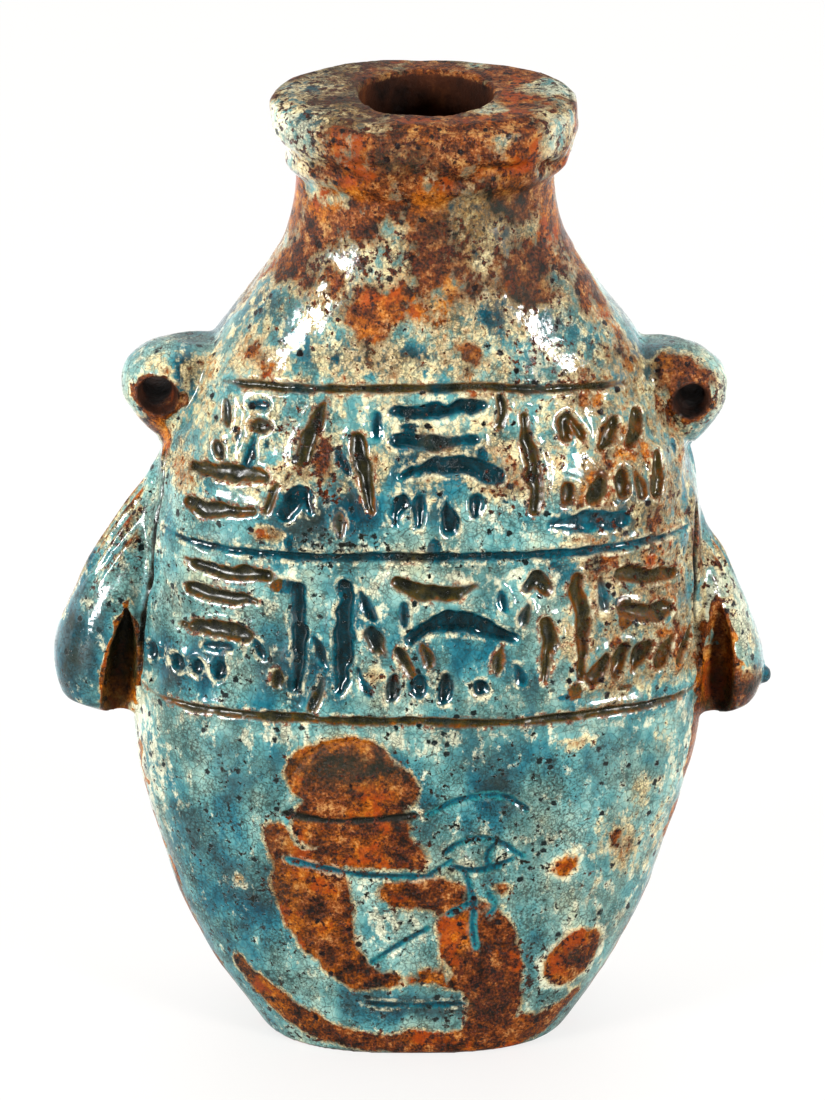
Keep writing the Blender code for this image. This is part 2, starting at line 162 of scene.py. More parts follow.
def smooth_curve(stations, at):
    """Reads a curve through (place, value) stations that never swings past them."""
    places, values = np.array(stations, float).T
    at = np.clip(at, places[0], places[-1])
    steps = np.diff(places)
    slopes = np.diff(values) / steps
    turning = slopes[:-1] * slopes[1:] <= 0
    sums = np.where(turning, 1.0, slopes[:-1] + slopes[1:])
    inner = np.where(turning, 0.0, 2 * slopes[:-1] * slopes[1:] / sums)
    tangents = np.concatenate([slopes[:1], inner, slopes[-1:]])
    i = np.clip(np.searchsorted(places, at, side="right") - 1, 0, len(steps) - 1)
    t = (at - places[i]) / steps[i]
    return (
        (1 + 2 * t) * (1 - t) ** 2 * values[i]
        + t * (1 - t) ** 2 * steps[i] * tangents[i]
        + t * t * (3 - 2 * t) * values[i + 1]
        + t * t * (t - 1) * steps[i] * tangents[i + 1]
    )


def smooth_step(low, high, at):
    share = np.clip((at - low) / (high - low), 0.0, 1.0)
    return share * share * (3 - 2 * share)


def value_noise(points, cell, seed):
    """Smooth random values from 0 to 1 that change over the distance of a cell."""
    scaled = points / cell + seed * 17.31
    base = np.floor(scaled)
    t = scaled - base
    t = t * t * (3 - 2 * t)
    total = np.zeros(len(points))
    for corner in itertools.product((0, 1), repeat=3):
        lattice = np.sin((base + corner) @ (12.9898, 78.233, 37.719)) * 43758.5453
        total += (lattice - np.floor(lattice)) * np.prod(np.where(corner, t, 1 - t), axis=1)
    return total


def waves(places, sizes):
    """Smooth rises and dips, by up to half of each wave's height."""
    return sum(height * (value_noise(places, cell, seed) - 0.5) for height, cell, seed in sizes)


def rib_wave(places):
    """From -1 to 1 and back every 1.8 mm of depth, with a wander, for the ribs on the lobes' tops."""
    return np.sin(places[:, 1] * 3.4 + 2 * value_noise(places, 6.0, 9))


def section(height):
    """Half width, half depth and squareness of the outer wall at a height."""
    half_width = smooth_curve([(z, wide) for z, wide, _ in WALL_OUTLINE], height)
    half_depth = smooth_curve([(z, deep) for z, _, deep in WALL_OUTLINE], height)
    return half_width, half_depth, smooth_curve(SQUARENESS, height)


def middle(height):
    return LEAN * smooth_step(LEAN_START, LEAN_END, height)


def wall_side(side, height):
    return middle(height) + side * section(height)[0]


def wall_reach(points):
    """1 on the outer wall at a point's height, less inside it and more outside."""
    x, y, z = points.T
    half_width, half_depth, squareness = section(z)
    across = np.abs((x - middle(z)) / half_width) ** squareness
    back = np.abs(y / half_depth) ** squareness
    return (across + back) ** (1 / squareness)


def feet_on_wall(points):
    """The nearest places on the outer wall, and how far outside them the points are."""
    step = 0.05
    feet = points.copy()
    for _ in range(3):
        reach = wall_reach(feet)
        slope = np.stack([(wall_reach(feet + shift) - reach) / step for shift in np.eye(3) * step], axis=1)
        feet -= ((reach - 1) / np.maximum((slope**2).sum(axis=1), 1e-6))[:, None] * slope
    outward = slope / np.linalg.norm(slope, axis=1)[:, None]
    return feet, ((points - feet) * outward).sum(axis=1)


def on_wall(across, height, face=FRONT):
    """Places on the outer wall; across is the share of the half width."""
    half_width, half_depth, squareness = section(height)
    inside = np.maximum(0.0, 1 - np.abs(across) ** squareness)
    y = face * half_depth * inside ** (1 / squareness)
    return np.stack([middle(height) + across * half_width, y, height], axis=-1)


def superellipse_ring(x, y, half_width, half_depth, squareness, height, count=RING_POINTS):
    """A level ring of points, oval where the squareness is 2 and squarer above that."""
    angles = np.linspace(0, 2 * math.pi, count, endpoint=False)
    c, s = np.cos(angles), np.sin(angles)
    across = np.sign(c) * np.abs(c) ** (2 / squareness) * half_width
    back = np.sign(s) * np.abs(s) ** (2 / squareness) * half_depth
    return np.stack([x + across, y + back, np.full(count, float(height))], axis=1)


def new_object(name, bm):
    bmesh.ops.recalc_face_normals(bm, faces=bm.faces)
    mesh = bpy.data.meshes.new(name)
    bm.to_mesh(mesh)
    bm.free()
    obj = bpy.data.objects.new(name, mesh)
    bpy.context.scene.collection.objects.link(obj)
    return obj


def loft(name, rings):
    """A closed skin over rings of equally many points."""
    bm = bmesh.new()
    loops = [[bm.verts.new(Vector(point) * MM) for point in ring] for ring in rings]
    for lower, upper in zip(loops, loops[1:]):
        for k in range(len(lower)):
            after = (k + 1) % len(lower)
            bm.faces.new((lower[k], lower[after], upper[after], upper[k]))
    for loop in (loops[0], loops[-1]):
        pole = bm.verts.new(sum((vert.co for vert in loop), Vector()) / len(loop))
        for a, b in zip(loop, loop[1:] + loop[:1]):
            bm.faces.new((pole, a, b))
    return new_object(name, bm)


def make_vessel():
    """Up the outer wall, in over the flat lip, down the bore and along the hollow to its floor."""
    rings = []
    levels = np.concatenate([[0.0, 0.3, 0.6, 0.9], np.arange(1.6, JAR_TOP, 0.8), [JAR_TOP]])
    for height in levels:
        rings.append(superellipse_ring(middle(height), 0, *section(height), height))
    bore = np.array([BORE, BORE, 2.0])
    edge = np.array(section(JAR_TOP))
    for share in np.linspace(0.1, 0.95, 10):
        rings.append(superellipse_ring(LEAN, 0, *(edge + (bore - edge) * share), JAR_TOP))
    rings.append(superellipse_ring(LEAN, 0, *bore, JAR_TOP - 0.5))
    for height in np.arange(JAR_TOP - 1.5, FLOOR, -1.5):
        half_width, half_depth, squareness = section(min(height, BODY_TOP))
        floor_curve = math.sqrt(min(1.0, (height - FLOOR) / FLOOR_ROUNDING + FLOOR_FLAT))
        hollow = np.array([(half_width - WALL) * floor_curve, (half_depth - WALL) * floor_curve, squareness])
        inner = hollow + (bore - hollow) * smooth_step(SHOULDER, BODY_TOP, height)
        rings.append(superellipse_ring(middle(height), 0, *inner, height))
    return loft("vessel", rings)


def side_form(name, side, bottom, top, reach, reach_shape, depth, depth_shape):
    """A form on the jar's side, whose shapes say how much of its reach and depth it has at each level."""
    rings = []
    for share in 0.5 - 0.5 * np.cos(np.linspace(0, math.pi, 40)):
        height = bottom + (top - bottom) * share
        out = reach * smooth_curve(reach_shape, share)
        half_width = (out + SIDE_ROOT) / 2
        x = wall_side(side, height) + side * (out - half_width)
        half_depth = depth / 2 * smooth_curve(depth_shape, share)
        rings.append(superellipse_ring(x, 0, half_width, half_depth, 2.0, height, 48))
    return loft(name, rings)


def settle(obj):
    """Turns an object's modifiers into its own plain mesh."""
    bpy.context.view_layer.update()
    graph = bpy.context.evaluated_depsgraph_get()
    mesh = bpy.data.meshes.new_from_object(obj.evaluated_get(graph), depsgraph=graph)
    obj.modifiers.clear()
    obj.data = mesh


def subtract(target, cutter):
    """Cuts one plain form out of another and keeps the result as a plain mesh."""
    modifier = target.modifiers.new("cut", "BOOLEAN")
    modifier.operation = "DIFFERENCE"
    modifier.object = cutter
    settle(target)
    bpy.data.objects.remove(cutter)


def lug_hole(side, y):
    """Middle and radius of a cord hole: bored from both faces, narrower within and rising to the back."""
    height = LUG_LEVELS[side] + LUG_HOLE_RISE
    x = wall_side(side, height) + side * (LUG_REACHES[side] - LUG_HOLE_INSET)
    radius = LUG_HOLES[side] * (0.78 + 0.35 * smooth_step(2.5, 7.0, np.abs(y)))
    return x, height + 0.32 * np.maximum(0.0, y), radius


def hole_gap(places):
    """How far places are outside the nearer cord hole."""
    gaps = []
    for side in SIDES:
        x, height, radius = lug_hole(side, places[:, 1])
        gaps.append(np.hypot(places[:, 0] - x, places[:, 2] - height) - radius)
    return np.minimum(*gaps)


def make_lug(side):
    """Full and round above, drawn in to the wall below, with a hole for a cord from front to back."""
    reach_shape = [(0.0, 0.05), (0.2, 0.42), (0.5, 0.86), (0.75, 1.0), (0.93, 0.86), (1.0, 0.62)]
    depth_shape = [(0.0, 0.3), (0.3, 0.8), (0.6, 1.0), (0.88, 0.8), (1.0, 0.45)]
    bottom = LUG_LEVELS[side] - LUG_HEIGHT / 2
    reach = LUG_REACHES[side]
    lug = side_form("lug", side, bottom, bottom + LUG_HEIGHT, reach, reach_shape, LUG_DEPTH, depth_shape)
    rings = []
    for y in np.linspace(-LUG_DEPTH, LUG_DEPTH, 15):
        x, height, radius = lug_hole(side, y)
        rings.append(superellipse_ring(x, height, radius, radius, 2.0, y, 32)[:, [0, 2, 1]])
    subtract(lug, loft("lug_hole", rings))
    return lug


def channel(side, height):
    """Middle and radius of the scooped channel down a lobe's front, which dies away upwards."""
    share = (height - LOBE_BOTTOM) / CHANNEL_HEIGHT
    radius = CHANNEL_RADIUS * np.maximum(0.12, 0.95 - np.clip(share, 0.0, 1.0) ** 4)
    y = 0.35 * CHANNEL_RADIUS * (1 + share) - LOBE_DEPTH / 2
    return wall_side(side, height) + side * CHANNEL_OUT, y, radius


def channel_gap(places):
    """How far places are outside the nearer channel."""
    gaps = []
    for side in SIDES:
        x, y, radius = channel(side, places[:, 2])
        gap = np.hypot(places[:, 0] - x, (places[:, 1] - y) / 1.5) - radius
        gaps.append(gap + 3 * smooth_step(0.0, 4.0, places[:, 2] - LOBE_BOTTOM - CHANNEL_HEIGHT))
    return np.minimum(*gaps)


def make_lobe(side):
    """Widens downwards from a thin top, fullest just above its rounded lower end, with a scooped channel."""
    reach_shape = [(0.0, 0.6), (0.05, 0.88), (0.2, 1.0), (0.46, 0.8), (0.74, 0.4), (0.88, 0.14), (1.0, 0.0)]
    depth_shape = [(0.0, 0.6), (0.05, 0.85), (0.2, 1.0), (0.6, 0.75), (1.0, 0.15)]
    top, reach = LOBE_TOPS[side], LOBE_REACHES[side]
    lobe = side_form("lobe", side, LOBE_BOTTOM, top, reach, reach_shape, LOBE_DEPTH, depth_shape)
    rings = []
    for height in LOBE_BOTTOM + CHANNEL_HEIGHT * np.linspace(-0.35, 1.0, 14):
        x, y, radius = channel(side, height)
        rings.append(superellipse_ring(x, y, radius, 1.5 * radius, 2.0, height, 24))
    subtract(lobe, loft("channel", rings))
    return lobe


def drip_middle():
    height = LOBE_BOTTOM + DRIP_RISE
    return np.array([wall_side(1, height) + LOBE_REACHES[1] - 0.3, 0.0, height])


def make_drip():
    """A bead of glaze that ran down to the tip of the right lobe."""
    bm = bmesh.new()
    bmesh.ops.create_icosphere(bm, subdivisions=3, radius=DRIP_RADIUS * MM)
    bmesh.ops.translate(bm, verts=bm.verts, vec=Vector(drip_middle()) * MM)
    return new_object("drip", bm)


def join_forms(forms):
    bm = bmesh.new()
    for form in forms:
        bm.from_mesh(form.data)
        bpy.data.objects.remove(form)
    return new_object("glazed_jar", bm)


def vertex_places(mesh):
    """Vertex positions in millimetres."""
    places = np.empty(len(mesh.vertices) * 3)
    mesh.vertices.foreach_get("co", places)
    return places.reshape(-1, 3) / MM


def store(mesh, name, values):
    """Keeps one number for each vertex, for the material and the crumbs to read."""
    attribute = mesh.attributes.new(name, "FLOAT", "POINT")
    attribute.data.foreach_set("value", np.ascontiguousarray(values, np.float32))


def linear(tone):
    """An sRGB hex colour, or a grey level, as linear light."""
    if not isinstance(tone, str):
        return (tone, tone, tone, 1.0)
    parts = [int(tone[k : k + 2], 16) / 255 for k in (1, 3, 5)]
    light = [part / 12.92 if part <= 0.04045 else ((part + 0.055) / 1.055) ** 2.4 for part in parts]
    return (*light, 1.0)


def add(tree, kind, inputs=None, stops=None, **settings):
    """Adds a node with its settings; an input is a value, a hex colour or an output to link from."""
    node = tree.nodes.new(kind)
    for name, value in settings.items():
        setattr(node, name, value)
    for key, value in (inputs or {}).items():
        if isinstance(value, bpy.types.NodeSocket):
            tree.links.new(value, node.inputs[key])
        else:
            is_colour = isinstance(value, str) and value.startswith("#")
            node.inputs[key].default_value = linear(value) if is_colour else value
    if stops:
        elements = node.color_ramp.elements
        while len(elements) < len(stops):
            elements.new(1.0)
        for element, (place, tone) in zip(elements, stops):
            element.position = place
            element.color = linear(tone)
    return node


def crumb_tree():
    """Geometry nodes: small crumbs of fired grit, set into the skin where the crumbly attribute says."""
    tree = bpy.data.node_groups.new("grit_crumbs", "GeometryNodeTree")
    tree.interface.new_socket("Geometry", in_out="INPUT", socket_type="NodeSocketGeometry")
    for name in ("Crumbs per square metre", "Crumb radius"):
        tree.interface.new_socket(name, in_out="INPUT", socket_type="NodeSocketFloat")
    tree.interface.new_socket("Seed", in_out="INPUT", socket_type="NodeSocketInt")
    tree.interface.new_socket("Material", in_out="INPUT", socket_type="NodeSocketMaterial")
    tree.interface.new_socket("Geometry", in_out="OUTPUT", socket_type="NodeSocketGeometry")
    given = add(tree, "NodeGroupInput").outputs
    crumbly = add(tree, "GeometryNodeInputNamedAttribute", {"Name": "crumbly"}, data_type="FLOAT")
    factors = {0: given["Crumbs per square metre"], 1: crumbly.outputs["Attribute"]}
    density = add(tree, "ShaderNodeMath", factors, operation="MULTIPLY")
    points = add(
        tree,
        "GeometryNodeDistributePointsOnFaces",
        {"Mesh": given["Geometry"], "Density": density.outputs[0], "Seed": given["Seed"]},
    )
    crumb = add(tree, "GeometryNodeMeshIcoSphere", {"Radius": given["Crumb radius"], "Subdivisions": 2})
    limits = {0: (0.5, 0.5, 0.4), 1: (1.3, 1.3, 0.9), "Seed": given["Seed"]}
    sizes = add(tree, "FunctionNodeRandomValue", limits, data_type="FLOAT_VECTOR")
    placed = {
        "Points": points.outputs["Points"],
        "Instance": crumb.outputs["Mesh"],
        "Rotation": points.outputs["Rotation"],
        "Scale": sizes.outputs[0],
    }
    crumbs = add(tree, "GeometryNodeInstanceOnPoints", placed)
    joined = add(tree, "GeometryNodeJoinGeometry")
    tree.links.new(given["Geometry"], joined.inputs[0])
    tree.links.new(crumbs.outputs["Instances"], joined.inputs[0])
    real = add(tree, "GeometryNodeRealizeInstances", {"Geometry": joined.outputs[0]})
    finish = {"Geometry": real.outputs[0], "Material": given["Material"]}
    dressed = add(tree, "GeometryNodeSetMaterial", finish)
    add(tree, "NodeGroupOutput", {"Geometry": dressed.outputs[0]})
    return tree


def scatter_crumbs(jar, material):
    """Grit shows on the broken lip and round the foot, and hardly anywhere else."""
    places = vertex_places(jar.data)
    height = places[:, 2]
    outside = wall_reach(places) > 0.97
    crumbly = np.where(height > LIP_BOTTOM, 1.0, 0.012) * outside
    crumbly += 0.25 * smooth_step(9.0, 2.0, height) * smooth_step(0.5, 1.5, height) * outside
    store(jar.data, "crumbly", crumbly)
    modifier = jar.modifiers.new("grit crumbs", "NODES")
    tree = crumb_tree()
    modifier.node_group = tree
    wanted = {
        "Crumbs per square metre": CRUMBS_PER_SQUARE_METRE,
        "Crumb radius": CRUMB_RADIUS * MM,
        "Seed": CRUMB_SEED,
        "Material": material,
    }
    for item in tree.interface.items_tree:
        if item.in_out == "INPUT" and item.name in wanted:
            modifier[item.identifier] = wanted[item.name]
    settle(jar)


def side_share(places):
    """How far towards the jar's sides the places are, as a share of the half width."""
    return np.abs((places[:, 0] - middle(places[:, 2])) / section(places[:, 2])[0])


def fuse(jar):
    """One even skin over all the forms, with soft joints where lugs and lobes meet the wall."""
    remesh = jar.modifiers.new("skin", "REMESH")
    remesh.mode = "VOXEL"
    remesh.voxel_size = VOXEL * MM
    settle(jar)
    places = vertex_places(jar.data)
    _, outside = feet_on_wall(places)
    joints = smooth_step(2.4, 0.0, np.abs(outside - 0.4)) * smooth_step(0.86, 0.93, side_share(places))
    group = jar.vertex_groups.new(name="joints")
    for index in np.nonzero((joints > 0.02) & (np.abs(places[:, 2] - 80) < 34))[0]:
        group.add([int(index)], float(joints[index]), "REPLACE")
    smooth = jar.modifiers.new("soft joints", "SMOOTH")
    smooth.vertex_group = "joints"
    smooth.factor = 0.5
    smooth.iterations = round(6 / VOXEL)
    settle(jar)
    jar.vertex_groups.clear()


def by_hand(path, sway, cell):
    """The same path with the small wander of a tool held in the hand."""
    level = np.full(len(path), 0.5)
    wander = np.stack([value_noise(path, cell, 21), level, value_noise(path, cell, 22)], axis=1)
    return path + sway * (wander - 0.5)


def bar(row, across, rise, length, lean=0.0, bend=0.0, brown=0.0, width=STROKE_WIDTH, depth=STROKE_DEPTH):
    """One stroke about its middle: rise, length and bend are shares of half the row's height.

    It is wider at one end, as the wedge of the tool makes it, at an end that differs from stroke to stroke.
    """
    half_width = section(row.level)[0]
    direction = np.array([math.cos(math.radians(lean)), math.sin(math.radians(lean))])
    sideways = np.array([-direction[1], direction[0]])
    reach = max(0.05, row.half * length / 2 - width / 2)
    along = np.linspace(-reach, reach, 9)
    bow = row.half * bend * (1 - (along / reach) ** 2)
    offset = along[:, None] * direction + bow[:, None] * sideways
    path = on_wall(across + offset[:, 0] / half_width, row.level + row.half * rise + offset[:, 1])
    wedge = 0.4 * math.sin(23 * across + 7 * rise)
    taper = (1 - 0.35 * (along / reach) ** 2) * (1 + wedge * along / reach)
    return Groove(by_hand(path, STROKE_SWAY, 4.0), width / 2 * taper, depth, brown)


def tally(row, across, rise, count, pitch, length, lean, **finish):
    """Leaning strokes side by side."""
    step = pitch * row.half / section(row.level)[0]
    start = across - (count - 1) * step / 2
    return [bar(row, start + k * step, rise, length, lean, **finish) for k in range(count)]


def stack(row, across, rise, count, pitch, length, lean=0.0, **finish):
    """Lying strokes one above another, each a little shorter than the one above."""
    top = rise + (count - 1) * pitch / 2
    lengths = [length * (1 - 0.12 * k) for k in range(count)]
    return [bar(row, across, top - k * pitch, long, lean, **finish) for k, long in enumerate(lengths)]


def upper_row(row):
    """The strokes between the upper two lines, from left to right."""
    return [
        bar(row, -0.68, 0.42, 0.35, 10, brown=0.5, depth=0.35),
        *stack(row, -0.75, -0.36, 2, 0.44, 1.0, 5, brown=1.0),
        bar(row, -0.46, 0.46, 0.86, 80, brown=1.0, depth=0.5),
        bar(row, -0.47, -0.5, 0.56, 4, bend=0.2, width=3.6),
        bar(row, -0.23, 0.0, 1.05, 108, brown=1.0),
        *stack(row, 0.06, 0.56, 2, 0.38, 1.3, brown=0.35),
        bar(row, 0.09, -0.04, 1.36, bend=0.16, width=3.0),
        *tally(row, -0.01, -0.46, 3, 0.28, 0.5, 85),
        bar(row, 0.2, -0.4, 0.36, 70),
        bar(row, 0.41, 0.08, 1.25, 85, brown=0.7),
        bar(row, 0.6, 0.36, 0.46, bend=0.22, brown=0.8),
        *tally(row, 0.79, 0.32, 2, 0.3, 0.56, 55, brown=1.0),
        bar(row, 0.87, -0.26, 0.6, 74, brown=1.0),
        *tally(row, 0.64, -0.3, 3, 0.28, 0.4, 70, brown=0.8),
        bar(row, 0.59, -0.68, 1.0, -5, width=3.2, depth=0.5),
    ]


def lower_row(row):
    """The strokes between the lower two lines, from left to right."""
    return [
        *stack(row, -0.71, 0.52, 2, 0.3, 1.1, brown=0.8),
        bar(row, -0.74, -0.07, 0.95, 4, brown=1.0),
        *tally(row, -0.82, -0.55, 4, 0.26, 0.28, 86, brown=0.3),
        bar(row, -0.44, -0.03, 1.4, 92),
        bar(row, -0.28, 0.02, 1.6, 92, width=3.2),
        bar(row, -0.16, -0.03, 0.56, 115, brown=0.6),
        bar(row, 0.04, 0.66, 1.1, bend=-0.1, brown=0.6, width=2.8),
        bar(row, 0.13, 0.0, 1.36, bend=0.24, width=3.2),
        *tally(row, -0.01, -0.58, 3, 0.3, 0.38, 86, brown=0.4),
        bar(row, 0.21, -0.6, 0.3, 86),
        bar(row, 0.41, 0.56, 0.4, bend=0.12, brown=0.6),
        bar(row, 0.43, -0.2, 0.9, 89, brown=0.9),
        bar(row, 0.55, 0.05, 1.4, 89, brown=0.8),
        *stack(row, 0.79, 0.36, 2, 0.42, 0.85, -11, brown=1.0, width=2.8),
        *tally(row, 0.77, -0.44, 5, 0.25, 0.52, 64, brown=1.0),
    ]


def nicks(row, strokes, seed):
    """Small, shallow marks of the tool wherever a row has room for them."""
    hand = np.random.default_rng(seed)
    taken = [stroke.path for stroke in strokes]
    marks = []
    for _ in range(NICK_TRIES):
        across = hand.uniform(-0.86, 0.88)
        rise = hand.uniform(-0.72, 0.72)
        lean = hand.choice([8, 75, 95, 118])
        length = hand.uniform(0.3, 0.5)
        brown = hand.uniform(-0.3, 1.1)
        mark = bar(row, across, rise, length, lean, brown=brown, width=NICK_WIDTH, depth=NICK_DEPTH)
        centre = mark.path[len(mark.path) // 2]
        if min(np.linalg.norm(path - centre, axis=1).min() for path in taken) > NICK_ROOM:
            marks.append(mark)
            taken.append(mark.path)
    return marks


def wall_groove(route, width, depth, brown, face=FRONT):
    """A groove along (across, height) points."""
    across, height = np.array(route, float).T
    at = np.linspace(0, 1, len(route))
    fine = np.linspace(0, 1, max(24, len(route)))
    path = on_wall(np.interp(fine, at, across), np.interp(fine, at, height), face)
    taper = 0.35 + 0.65 * smooth_step(0.0, 0.08, fine) * smooth_step(1.0, 0.92, fine)
    return Groove(by_hand(path, LINE_SWAY, 9.0), width / 2 * taper, depth, brown)


def rounded(route):
    """The same route with its corners cut off three times over."""
    points = np.array(route, float)
    for _ in range(3):
        near, far = points[:-1] * 0.75 + points[1:] * 0.25, points[:-1] * 0.25 + points[1:] * 0.75
        points = np.concatenate([points[:1], np.stack([near, far], axis=1).reshape(-1, 2), points[-1:]])
    return points


def ruled_lines():
    """Three lines round the front and the same three round the back, each sagging towards its ends."""
    grooves = []
    for face, browns in LINE_BROWNS.items():
        for level, dip, end, brown in zip(LINE_LEVELS, LINE_DIPS, LINE_ENDS, browns):
            route = [(across, level - dip * across * across) for across in np.linspace(-end, end, 24)]
            grooves.append(wall_groove(route, LINE_WIDTH, LINE_DEPTH, brown, face))
    return grooves


def seams():
    """Where the lobes were pressed on, the joint shows as a narrow, brown crease."""
    grooves = []
    for side, face in itertools.product(SIDES, (FRONT, BACK)):
        foot = LOBE_BOTTOM + 8
        top = LOBE_TOPS[side] + 2
        down = [(0.985, top), (0.972, top - 6), (0.968, (top + foot) / 2), (0.972, foot)]
        route = [(side * across, height) for across, height in down]
        grooves.append(wall_groove(route, SEAM_WIDTH, SEAM_DEPTH, 1.4, face))
    return grooves


def figure_lines():
    """The incised lines of a kneeling figure that holds a leaf; heights are shares of the lowest line's."""
    routes = {
        "crown": [(-0.46, 0.77), (-0.42, 0.87), (-0.3, 0.94), (-0.16, 0.94), (-0.05, 0.87), (0.0, 0.77)],
        "collar": [(-0.47, 0.725), (-0.23, 0.705), (0.01, 0.735)],
        "raised_arm": [(0.04, 0.735), (0.16, 0.785), (0.3, 0.795), (0.4, 0.735)],
        "belt": [(-0.48, 0.585), (-0.2, 0.55), (0.08, 0.555)],
        "leaf_top": [(0.11, 0.62), (0.17, 0.655), (0.27, 0.66), (0.36, 0.625)],
        "leaf_bottom": [(0.13, 0.585), (0.21, 0.565), (0.3, 0.57), (0.38, 0.595)],
        "leaf_vein": [(0.31, 0.65), (0.27, 0.61), (0.29, 0.575)],
        "leaf_tip": [(0.34, 0.63), (0.41, 0.60)],
        "leaf_base": [(0.06, 0.56), (0.14, 0.60)],
        "stem": [(0.19, 0.57), (0.22, 0.53), (0.25, 0.46), (0.25, 0.4), (0.275, 0.33)],
        "wrist": [(0.15, 0.44), (0.22, 0.47)],
        "wrap": [(0.30, 0.5), (0.34, 0.46), (0.31, 0.43)],
        "forearm": [(-0.18, 0.285), (-0.06, 0.345), (0.07, 0.4)],
        "seat": [(-0.24, 0.165), (0.01, 0.155), (0.26, 0.165)],
    }
    # The crown is a bare line with nothing in it, and the collar is dark
    browns = {"crown": -2.0, "collar": 1.35, "belt": -0.4, "seat": -0.2}
    grooves = []
    for name, route in routes.items():
        path = rounded([(across, share * LINE_LEVELS[0]) for across, share in route])
        grooves.append(wall_groove(path, FIGURE_WIDTH, FIGURE_DEPTH, browns.get(name, -0.6)))
    return grooves


def gap_to_path(places, path, half):
    """How far places are outside a band along a path, less than 0 within it."""
    gap = np.full(len(places), 99.0)
    for a, b, half_a, half_b in zip(path, path[1:], half, half[1:]):
        along = b - a
        t = np.clip(((places - a) @ along) / max(along @ along, 1e-9), 0.0, 1.0)
        far = np.linalg.norm(places - a - t[:, None] * along, axis=1)
        gap = np.minimum(gap, far - half_a - t * (half_b - half_a))
    return gap


def read_grooves(places, grooves):
    """For places on the wall: the gap to the nearest groove's border, the depth, its share and the brown."""
    gap = np.full(len(places), GROOVE_REACH)
    depth = np.zeros(len(places))
    sunk = np.zeros(len(places))
    brown = np.zeros(len(places))
    wobble = waves(places, GROOVE_EDGE_WAVES)
    for groove in grooves:
        low = groove.path.min(axis=0) - GROOVE_REACH
        high = groove.path.max(axis=0) + GROOVE_REACH
        near = np.nonzero(np.all((places > low) & (places < high), axis=1))[0]
        if not len(near):
            continue
        widest = groove.half.max()
        here = gap_to_path(places[near], groove.path, groove.half) + wobble[near] * min(1.0, widest / 1.3)
        ramp = min(0.8, widest)
        share = smooth_step(0.15, -ramp, here)
        depth[near] = np.maximum(depth[near], groove.depth * share)
        sunk[near] = np.maximum(sunk[near], share)
        closer = here < gap[near]
        gap[near] = np.where(closer, here, gap[near])
        brown[near] = np.where(closer, groove.brown, brown[near])
    return gap, depth, sunk, brown


def all_grooves():
    """Everything that is cut into the wall; the upper row comes first."""
    rows = [Row((low + high) / 2, (high - low) / 2) for low, high in zip(LINE_LEVELS, LINE_LEVELS[1:])]
    marks = []
    for row, strokes_of, seed in zip(reversed(rows), (upper_row, lower_row), NICK_SEEDS):
        strokes = strokes_of(row)
        marks += strokes + nicks(row, strokes, seed)
    return ruled_lines() + marks + figure_lines() + seams()


def carve(jar, grooves):
    """Presses the grooves into the wall, raises a soft lip beside them and makes the surface uneven."""
    mesh = jar.data
    places = vertex_places(mesh)
    x, y, height = places.T
    feet, outside = feet_on_wall(places)
    gap, depth, _, _ = read_grooves(feet, grooves)
    on_body = smooth_step(1.2, 0.5, np.abs(outside))
    relief = -depth * on_body
    raised = RAISED_LIP * np.exp(-(((gap - 0.6) / 0.6) ** 2)) * smooth_step(-0.3, 0.1, gap)
    relief += raised * on_body * (feet[:, 1] < 0) * smooth_step(54, 58, height)
    relief += waves(places, SKIN_WAVES)

    # The jar's lip: uneven, rounded at its upper edge, ragged at its lower edge and worn away at the left
    lip = smooth_step(LIP_BOTTOM - 2, LIP_BOTTOM + 1, height) * (outside > -9)
    relief += lip * waves(places, LIP_WAVES)
    relief -= 0.8 * smooth_step(2.0, 0.0, np.hypot(outside, height - JAR_TOP))
    lower_edge = smooth_step(3.6, 0.6, np.abs(height - 141.4)) * smooth_step(-12, -4, outside)
    relief -= lip * lower_edge * (0.5 + 1.2 * smooth_step(0.5, 0.75, value_noise(places, 4.6, 8)))
    worn_away = lip * 1.1 * smooth_step(146.5, 142, height)
    relief -= worn_away * smooth_step(-2, -16, x) * smooth_step(-9, -3, outside)

    # Between the strokes the wall is pressed in and out, and the lobes' tops are ribbed
    rows = smooth_step(56, 60, height) * smooth_step(113, 107, height) * (y < 0) * on_body
    relief += rows * waves(places, ROW_WAVES)
    ribs = smooth_step(1.0, 3.0, outside) * smooth_step(70, 76, height) * smooth_step(95, 90, height)
    relief += 0.3 * ribs * rib_wave(places)

    # Nothing stands far out, and the foot stays flat
    relief = np.where(relief > 0.4, 0.4 + 0.3 * (relief - 0.4), relief) * smooth_step(0.0, 1.0, height)
    normals = np.empty(len(places) * 3)
    mesh.vertices.foreach_get("normal", normals)
    place_vertices(mesh, places + normals.reshape(-1, 3) * relief[:, None])


def place_vertices(mesh, places):
    """Moves the vertices to places in millimetres, none of them below the foot or above the lip."""
    places[:, 2] = np.clip(places[:, 2], 0.0, JAR_TOP)
    mesh.vertices.foreach_set("co", (places * MM).ravel())
    mesh.update()


